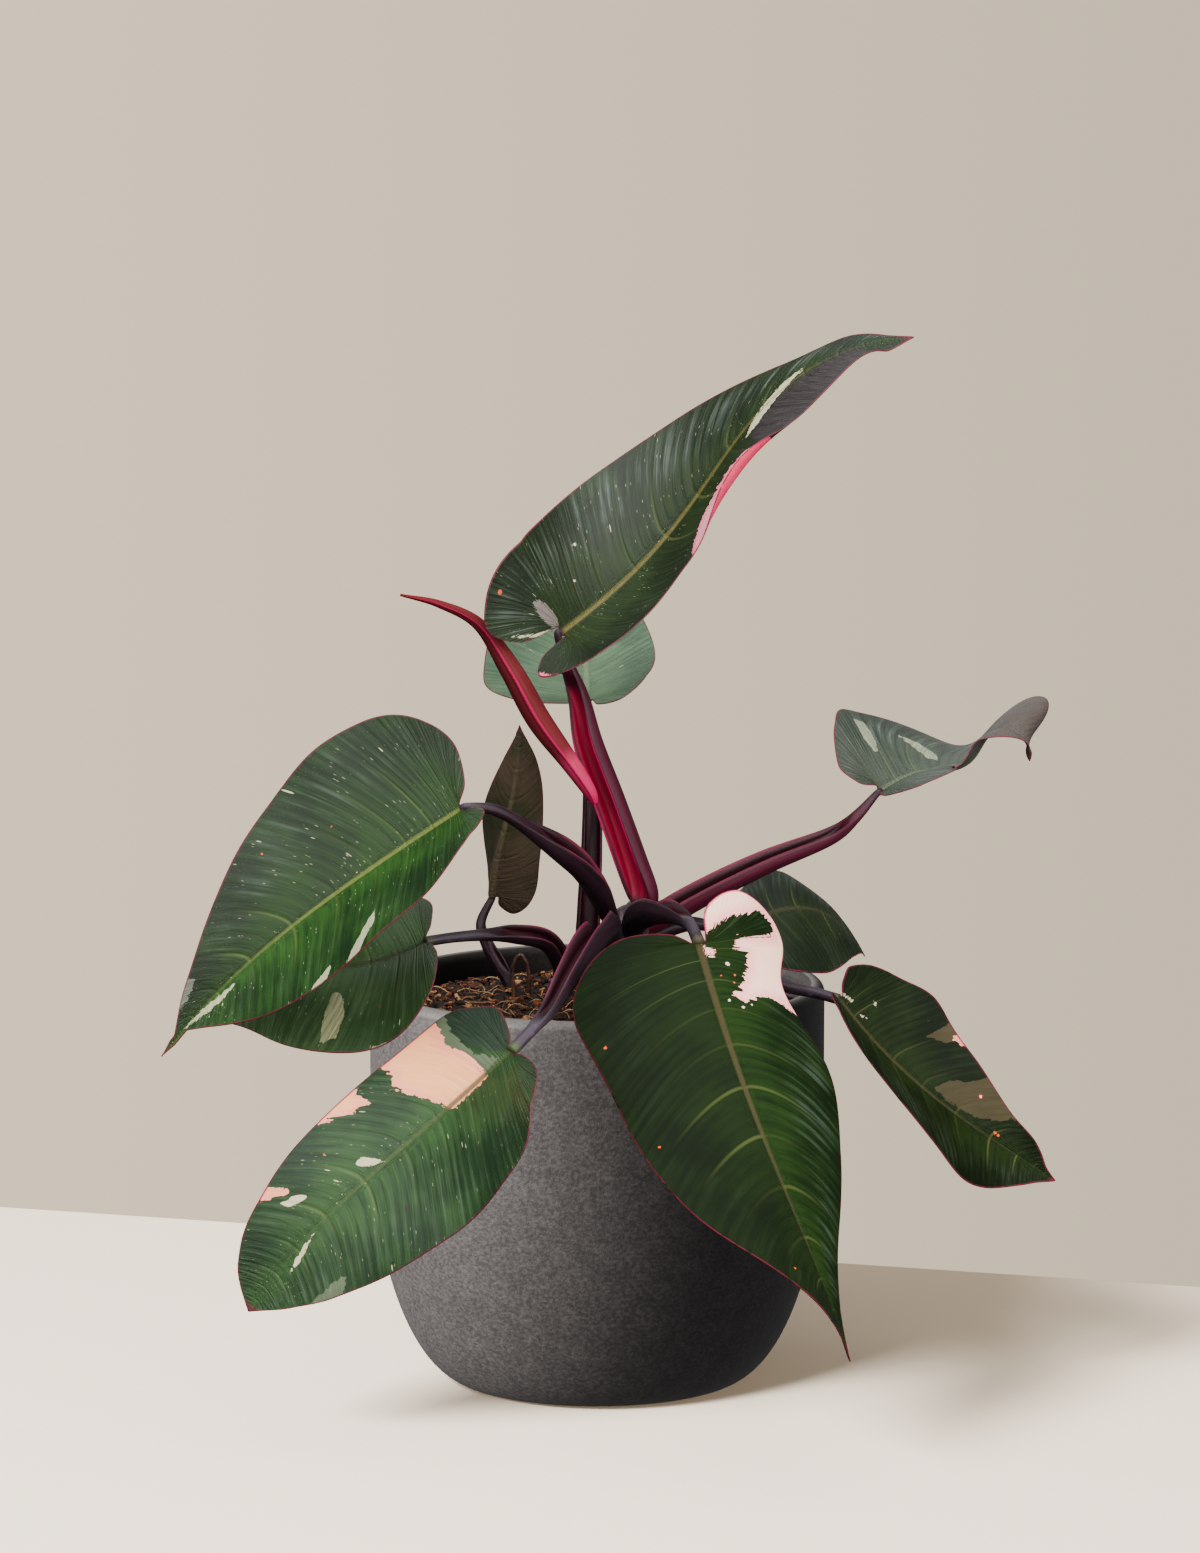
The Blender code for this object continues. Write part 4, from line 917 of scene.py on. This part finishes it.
def finished_stalk(name, shape):
    """The stalk carried on into the base of its blade."""
    joint = np.array(LEAVES[name]["joint"], float)
    along = Blade(LEAVES[name]).axes(np.array(0.0))[0]
    width = shape["widths"][-1]
    if shape["bend"]:
        tail = (tuple(joint - along * shape["bend"] * 0.4), tuple(joint + along * 0.3))
        width = min(width, BENT_TAIL_HALF)
    else:
        approach = unit(joint - np.array(shape["points"][-1], float))
        clear = 0.6 + width * np.sqrt(max(0.0, 1 - float(approach @ along) ** 2))
        tail = (tuple(joint - unit(approach * 0.5 + along * 0.5) * (clear - TAIL_SINK)),)
    return dict(shape, points=shape["points"] + tail, widths=shape["widths"] + (width,) * len(tail),
                groove=shape["groove"] + (0,) * len(tail))


def tube_faces(rows, columns):
    """A closed tube with flat ends."""
    last = (rows - 1) * columns
    return (grid_faces(rows, columns, closed=True)
            + [tuple(range(columns))[::-1], tuple(range(last, last + columns))])


def stalk_piece(name):
    """A stalk whose groove opens between two thin wings, and closes to a round rod towards its ends."""
    shape = finished_stalk(name, STALKS[name])
    u, place, _, up, side = path_frames(shape["points"], shape["opens"], STALK_STEPS)
    wide = smooth_value(shape["widths"], u) * MM
    deep = np.clip(smooth_value(shape["groove"], u), 0, 1)
    tall = wide * (0.95 - 0.12 * deep)
    wall = np.maximum(wide * 0.30, THIN_WALL)

    def around(angle, tall, wide):
        return up * (-cos(angle) * tall)[:, None] + side * (sin(angle) * wide)[:, None]

    rings, inside, edge, flank = [], [], [], []
    for i in range(BACK_SIDES):
        angle = -WING_ANGLE + 2 * WING_ANGLE * i / (BACK_SIDES - 1)
        share = abs(angle / WING_ANGLE)
        rings.append(place + around(angle, tall, wide) + up * (deep * 0.35 * wide * share ** 4)[:, None])
        inside.append(0 * u)
        edge.append(deep * share ** 10)
        flank.append(0 * u + share)
    for i in range(GROOVE_SIDES):
        share = (i + 1) / (GROOVE_SIDES + 1)
        full = around(WING_ANGLE + (2 * pi - 2 * WING_ANGLE) * share, tall, wide)
        cut = around(GROOVE_ANGLE * (1 - 2 * share), tall - wall * 1.3, wide - wall)
        rings.append(place + full * (1 - deep)[:, None] + cut * deep[:, None])
        inside.append(deep)
        edge.append(deep * abs(1 - 2 * share) ** 12)
        flank.append(0 * u + 1)
    columns = len(rings)
    along = np.repeat(u[:, None], columns, 1)
    line = np.arange(columns)[None] * np.ones((STALK_STEPS, 1)) * 0.55
    values = {"sheath": np.stack((np.stack(inside, 1), np.stack(edge, 1), along), -1),
              "grain": np.stack((line, along * 5, np.stack(flank, 1)), -1)}
    make_piece("petiole_" + name, np.stack(rings, 1), tube_faces(STALK_STEPS, columns),
               stalk_finish(name, shape), values, node="stalk_" + name)


def rod_rings(points, radii, sides, count, step=0.0, bumps=0.0):
    """Rings round a path; step draws a spiral's overlap and bumps makes them knobbly."""
    u, place, _, up, side = path_frames(points, (0, -1, 0), count)
    radius = (smooth_value(radii, u) * MM)[:, None]
    angle = 2 * pi * np.arange(sides)[None] / sides
    reach = radius * (1 - step * np.arange(sides)[None] / (sides - 1))
    if bumps:
        reach = reach * (1 + bumps * (np.sin(angle * 3 + u[:, None] * 21) * np.sin(u[:, None] * 47 + angle)
                                      + 0.5 * np.sin(angle * 7 + u[:, None] * 90)))
    rings = (place[:, None] + up[:, None] * (np.cos(angle) * reach)[..., None]
             + side[:, None] * (np.sin(angle) * reach)[..., None])
    return u, rings


def stem_radii():
    """Radii of the stem with the low rings of old leaf scars on its upper part."""
    count = len(STEM_RADII) * 4
    for k in range(count + 1):
        ring = max(0.0, cos(2 * pi * RING_COUNT * k / count)) ** 6 * (k > count * 0.35)
        yield float(smooth_value(STEM_RADII, k / count)) + RING_HEIGHT * ring


def barky_rods():
    """The stem, the dried root and the old stub."""
    for name, node, skin, points, radii, sides, count, bumps, first, second in (
            ("stem_skin_piece", "stem", "stem_skin", STEM_POINTS, list(stem_radii()), 40, 90, 0.02,
             (40, 28, 34), (64, 46, 52)),
            ("aerial_root", "dried_root", "root_skin", ROOT_POINTS, (ROOT_RADIUS,), 16, 70, 0.10,
             (48, 26, 20), (92, 54, 38)),
            ("leaf_stub", "old_stub", "stub_skin", STUB_POINTS, STUB_RADII, 24, 30, 0.06,
             (72, 28, 44), (104, 58, 70))):
        _, rings = rod_rings(points, radii, sides, count, bumps=bumps)
        make_piece(name, rings, tube_faces(count, sides), bark_skin(skin, first, second), node=node)


def spear_piece():
    """The rolled new leaf: a spiral whose outer edge shows as a low step."""
    sides, count = 48, 120
    u, rings = rod_rings(SPEAR_POINTS, SPEAR_RADII, sides, count, step=SPEAR_STEP)
    turn = np.repeat(np.linspace(0, 1, sides)[None], count, 0)
    along = np.repeat(u[:, None], sides, 1)
    values = {"roll": np.stack((along, turn, bell(turn, 0.035) + bell(turn - 1, 0.02) * 0.4), -1),
              "grain": np.stack((turn * 22, along * 6, turn * 0), -1)}
    make_piece("rolled_leaf", rings, tube_faces(count, sides), spear_finish(), values, node="new_leaf")


# Pot and potting mix

POT_SIDES = 192
CURVE_STEPS = 26
WALL_STEPS = 8
LIP_STEPS = 19
POT_MIDDLE = 0.5 * MM
FOOT_ROUNDING = 1.2 * MM


def pot_wall(height, radius, base):
    """Radius of the pot at a height: vertical above the shoulder, a soft curve below it."""
    drop = np.clip(1 - height / POT_SHOULDER, 0, 1)
    return base + (radius - base) * (1 - drop ** POT_ROUNDNESS) ** (1 / POT_ROUNDNESS)


def pot_piece():
    """The pot's turned profile: up its inside from the middle, over the round lip and down to the foot."""
    inner, lip = POT_RADIUS - POT_WALL, POT_WALL / 2
    rise = np.linspace(0, 1, CURVE_STEPS)
    inside_height = POT_FLOOR + (POT_SHOULDER - POT_FLOOR) * rise ** 1.6
    arc = pi - pi * np.linspace(0, 1, LIP_STEPS)
    outside_height = POT_SHOULDER * (1 - rise) ** 1.5 + FOOT_ROUNDING * rise
    radius = np.concatenate(([POT_MIDDLE], pot_wall(inside_height, inner, POT_BASE_RADIUS - POT_WALL),
                             np.full(WALL_STEPS, inner), POT_RADIUS - lip + lip * np.cos(arc),
                             np.full(WALL_STEPS, POT_RADIUS),
                             pot_wall(outside_height, POT_RADIUS, POT_BASE_RADIUS),
                             [POT_BASE_RADIUS - 0.6 * MM, POT_BASE_RADIUS - 6 * MM, POT_MIDDLE]))
    wall_height = np.linspace(POT_SHOULDER, POT_HEIGHT - lip, WALL_STEPS + 2)[1:-1]
    height = np.concatenate(([POT_FLOOR], inside_height, wall_height, POT_HEIGHT - lip + lip * np.sin(arc),
                             wall_height[::-1], outside_height, [0.0, 0.0, 0.0]))
    turn = 2 * pi * np.arange(POT_SIDES) / POT_SIDES
    points = np.stack((radius[:, None] * np.cos(turn), radius[:, None] * np.sin(turn),
                       np.repeat(height[:, None], POT_SIDES, 1)), -1)
    order = np.arange(len(radius)) - (1 + CURVE_STEPS + WALL_STEPS + LIP_STEPS // 2)
    # Masks for the painted highlight on the lip and the painted shade inside
    wall = np.stack((bell(order, 5.0), (order < -2).astype(float), 0.0 * order), -1)
    values = {"wall": np.repeat(wall[:, None], POT_SIDES, 1)}
    return make_piece("round_pot", points, tube_faces(len(radius), POT_SIDES), pot_finish(), values,
                      node="pot")


def soil_height(x, y):
    """Height of the uneven bed of potting mix, a little mounded."""
    share = min(np.hypot(x, y) / (POT_RADIUS - POT_WALL), 1.0)
    bumps = sin(x * 310 + 1) * sin(y * 270 + 2) + 0.6 * sin(x * 520 + y * 430)
    return SOIL_EDGE + SOIL_MOUND * (1 - share * share) + 1.1 * MM * bumps * (1 - share ** 6)


BARK_STOPS = ((0.0, tone(14, 9, 8)), (0.4, tone(32, 18, 13)), (0.66, tone(70, 34, 19)),
              (0.86, tone(126, 62, 28)), (1.0, tone(178, 132, 86)))
FIBRE_STOPS = ((0.0, tone(52, 30, 19)), (0.5, tone(104, 66, 38)), (1.0, tone(192, 156, 112)))


def soil_bed(dice):
    """The crumbly top of the potting mix and the ring below its edge."""
    inner = POT_RADIUS - POT_WALL - 0.3 * MM
    rows, sides = 60, 160
    points = []
    for k in range(rows):
        for i in range(sides):
            reach, angle = inner * (k + 0.02) / (rows - 1 + 0.02), 2 * pi * i / sides
            x, y = reach * cos(angle), reach * sin(angle)
            points.append((x, y, soil_height(x, y) + dice.uniform(-0.5, 0.1) * MM))
    for i in range(sides):
        angle = 2 * pi * i / sides
        points.append((inner * cos(angle), inner * sin(angle), SOIL_EDGE - SOIL_SKIRT))
    faces = tube_faces(rows + 1, sides)
    values = {"bit": [(dice.uniform(0.0, 0.5), 0.6, 0.0) for _ in points]}
    make_piece("potting_bed", points, faces, mix_finish("potting_bed", BARK_STOPS), values, node="soil")


def scatter_bits(name, dice, count, sizes, finish, lift, wetness):
    """Uneven angular bits lying at all angles on the bed."""
    template = bmesh.new()
    bmesh.ops.create_icosphere(template, subdivisions=1, radius=1.0)
    corners = [v.co.copy() for v in template.verts]
    tris = [tuple(v.index for v in face.verts) for face in template.faces]
    template.free()
    points, faces, bits = [], [], []
    for _ in range(count):
        reach = (POT_RADIUS - POT_WALL - 3.5 * MM) * dice.random() ** 0.5
        angle = dice.uniform(0, 2 * pi)
        x, y = reach * cos(angle), reach * sin(angle)
        size = Vector([dice.uniform(*span) * MM for span in sizes])
        turn = (Matrix.Rotation(dice.uniform(0, 2 * pi), 3, "Z")
                @ Matrix.Rotation(dice.gauss(0, 0.45), 3, "X")
                @ Matrix.Rotation(dice.gauss(0, 0.35), 3, "Y"))
        middle = Vector((x, y, soil_height(x, y) + lift * size.z))
        bit = (dice.random(), dice.random() ** 3 * wetness, 0)
        start = len(points)
        for corner in corners:
            rough = corner * dice.uniform(0.72, 1.15)
            points.append(middle + turn @ Vector((rough.x * size.x, rough.y * size.y, rough.z * size.z)))
            bits.append(bit)
        faces += [tuple(start + i for i in tri) for tri in tris]
    piece = make_piece(name, points, faces, finish, {"bit": bits})
    piece.data.polygons.foreach_set("use_smooth", [False] * len(piece.data.polygons))


def coir_fibres(dice, count):
    """Thin curved fibres lying across the bed."""
    points, faces, bits = [], [], []
    sides, rows = 4, 9
    for _ in range(count):
        reach = (POT_RADIUS - POT_WALL - 9 * MM) * dice.random() ** 0.5
        angle = dice.uniform(0, 2 * pi)
        x, y, heading = reach * cos(angle), reach * sin(angle), dice.uniform(0, 2 * pi)
        length, turn = dice.uniform(5, 15) * MM, dice.uniform(-1.6, 1.6)
        radius, hop = dice.uniform(0.10, 0.24) * MM, dice.uniform(0.4, 2.2) * MM
        bit, start = (dice.random(), 0, 0), len(points)
        for k in range(rows):
            u = k / (rows - 1)
            z = soil_height(x, y) + 0.5 * MM + hop * sin(pi * u)
            side = Vector((-sin(heading), cos(heading), 0))
            for i in range(sides):
                a = 2 * pi * i / sides
                points.append(Vector((x, y, z)) + side * (radius * cos(a)) + Vector((0, 0, radius * sin(a))))
                bits.append(bit)
            x += cos(heading) * length / rows
            y += sin(heading) * length / rows
            heading += turn / rows
            if np.hypot(x, y) > POT_RADIUS - POT_WALL - 2 * MM:
                heading += 1.2
        faces += [tuple(start + i for i in face) for face in tube_faces(rows, sides)]
    make_piece("coir_fibres", points, faces, mix_finish("coir", FIBRE_STOPS), {"bit": bits})


def potting_mix():
    dice = random.Random(7)
    soil_bed(dice)
    bark = mix_finish("bark", BARK_STOPS)
    scatter_bits("bark_chips", dice, 300, ((1.2, 3.4), (0.9, 2.3), (0.5, 1.3)), bark, 0.45, 0.6)
    scatter_bits("bark_crumbs", dice, 2200, ((0.4, 1.3), (0.35, 1.0), (0.3, 0.8)), bark, 0.9, 0.5)
    coir_fibres(dice, 300)


# Stage, light and camera

FLOOR_EDGE = ((-4.0, 1.353), (4.0, -0.968))
WALL_LEFT = (1.19, 0.977, 0.704)
WALL_RIGHT = (0.894, 0.745, 0.552)
WALL_SWEEP = 0.11
ROOM_LIGHT = (0.15, 0.15, 0.15)
TABLE_LAMP_AWAY = 3.6


def stage():
    """The floor, which sends no light back on to the pot."""
    mesh = bpy.data.meshes.new("floor")
    (left, left_y), (right, right_y) = FLOOR_EDGE
    corners = [(left, -4, 0), (right, -4, 0), (right, right_y, 0), (left, left_y, 0)]
    mesh.from_pydata(corners, [], [(0, 1, 2, 3)])
    floor = bpy.data.objects.new("floor", mesh)
    bpy.context.scene.collection.objects.link(floor)
    finish = Finish("floor", Roughness=0.9, Specular_IOR_Level=0.1)
    cloud = finish.noise(finish.place(), 3.0)
    finish.set(Base_Color=finish.blend(cloud * 0.3, tone(232, 224, 211), tone(226, 218, 204)))
    mesh.materials.append(finish.material)
    floor.visible_diffuse = floor.visible_glossy = False
    return floor


def area_light(name, turn, lift, distance, size, power, color=(1, 1, 1), aim=(0, 0, 0.18)):
    """A softbox: turn is its angle round the plant from the front, left negative, and lift its height."""
    data = bpy.data.lights.new(name, "AREA")
    data.shape, data.size, data.size_y = "RECTANGLE", *size
    data.energy, data.color = power, color
    lamp = bpy.data.objects.new(name, data)
    away = Vector((sin(radians(turn)) * cos(radians(lift)), -cos(radians(turn)) * cos(radians(lift)),
                   sin(radians(lift))))
    lamp.location = Vector(aim) + away * distance
    lamp.rotation_euler = away.to_track_quat("Z", "Y").to_euler()
    bpy.context.scene.collection.objects.link(lamp)
    return lamp


def group_for(name, things, state="INCLUDE"):
    """A collection that keeps a light to some things, or off them."""
    group = bpy.data.collections.new(name)
    for thing in things:
        group.objects.link(thing)
        group.collection_objects[-1].light_linking.link_state = state
    return group


def lights(floor, pot):
    """Broad soft light on the plant, a graded side light on the pot and a lamp for the table."""
    plant = group_for("plant_alone", [pot, floor], "EXCLUDE")
    pot_alone, floor_alone = group_for("pot_alone", [pot]), group_for("floor_alone", [floor])
    for name, turn, lift, distance, size, power, color in (
            ("key", -22, 50, 3.0, (4.0, 4.0), 215, (1.0, 0.985, 0.96)),
            ("front", 38, 18, 3.2, (4.0, 3.4), 245, (1.0, 0.98, 0.96)),
            ("sky", 0, 85, 2.6, (3.4, 3.0), 68, (0.80, 0.91, 1.0)),
            ("back", 190, 30, 3.0, (3.4, 3.0), 28, (1.0, 0.98, 0.96))):
        area_light(name, turn, lift, distance, size, power, color).light_linking.receiver_collection = plant
    side = area_light("pot_side", -70, 23, 1.7, (1.3, 1.3), 86, (1.0, 0.97, 0.96), (0, 0, 0.08))
    side.light_linking.receiver_collection = side.light_linking.blocker_collection = pot_alone
    for name, turn, lift, size, power, color, shadow_from in (
            ("table", -38, 33, 1.2, 655, (1.0, 0.925, 0.835), None),
            ("table_fill", 0, 80, 2.4, 80, (1.0, 0.80, 0.58), floor_alone)):
        lamp = area_light(name, turn, lift, TABLE_LAMP_AWAY, (size, size), power, color)
        lamp.light_linking.receiver_collection = floor_alone
        lamp.light_linking.blocker_collection = shadow_from


def room():
    """A plain warm wall for the camera, painted lighter on the left and darker on the right as light falls
    across it; for everything else only a weak grey fill.
    """
    world = bpy.data.worlds.new("studio")
    world.use_nodes = True
    w = Nodes(world.node_tree)
    way = w.node("ShaderNodeTexCoord", {}, {}, "Generated")
    across = w.node("ShaderNodeSeparateXYZ", {}, {"Vector": way})
    span = {"From Min": -WALL_SWEEP, "From Max": WALL_SWEEP}
    # Painted shade: the wall's colour darkens from left to right
    sweep = w.node("ShaderNodeMapRange", {}, {"Value": across, **span})
    seen = w.node("ShaderNodeLightPath", {}, {}, "Is Camera Ray")
    color = w.blend(seen, ROOM_LIGHT, w.blend(sweep, WALL_LEFT, WALL_RIGHT))
    w.plug(w.tree.nodes["Background"].inputs["Color"], color)
    bpy.context.scene.world = world


def camera():
    data = bpy.data.cameras.new("camera")
    data.lens, data.sensor_width = CAMERA_LENS, 36
    data.clip_start = 0.05
    cam = bpy.data.objects.new("camera", data)
    cam.location = CAMERA_PLACE
    cam.rotation_euler = (radians(90 - CAMERA_TILT), 0, 0)
    bpy.context.scene.collection.objects.link(cam)
    bpy.context.scene.camera = cam


camera()
room()
lights(stage(), pot_piece())
potting_mix()
barky_rods()
spear_piece()
for name in STALKS:
    stalk_piece(name)
for name in LEAVES:
    leaf_piece(name)
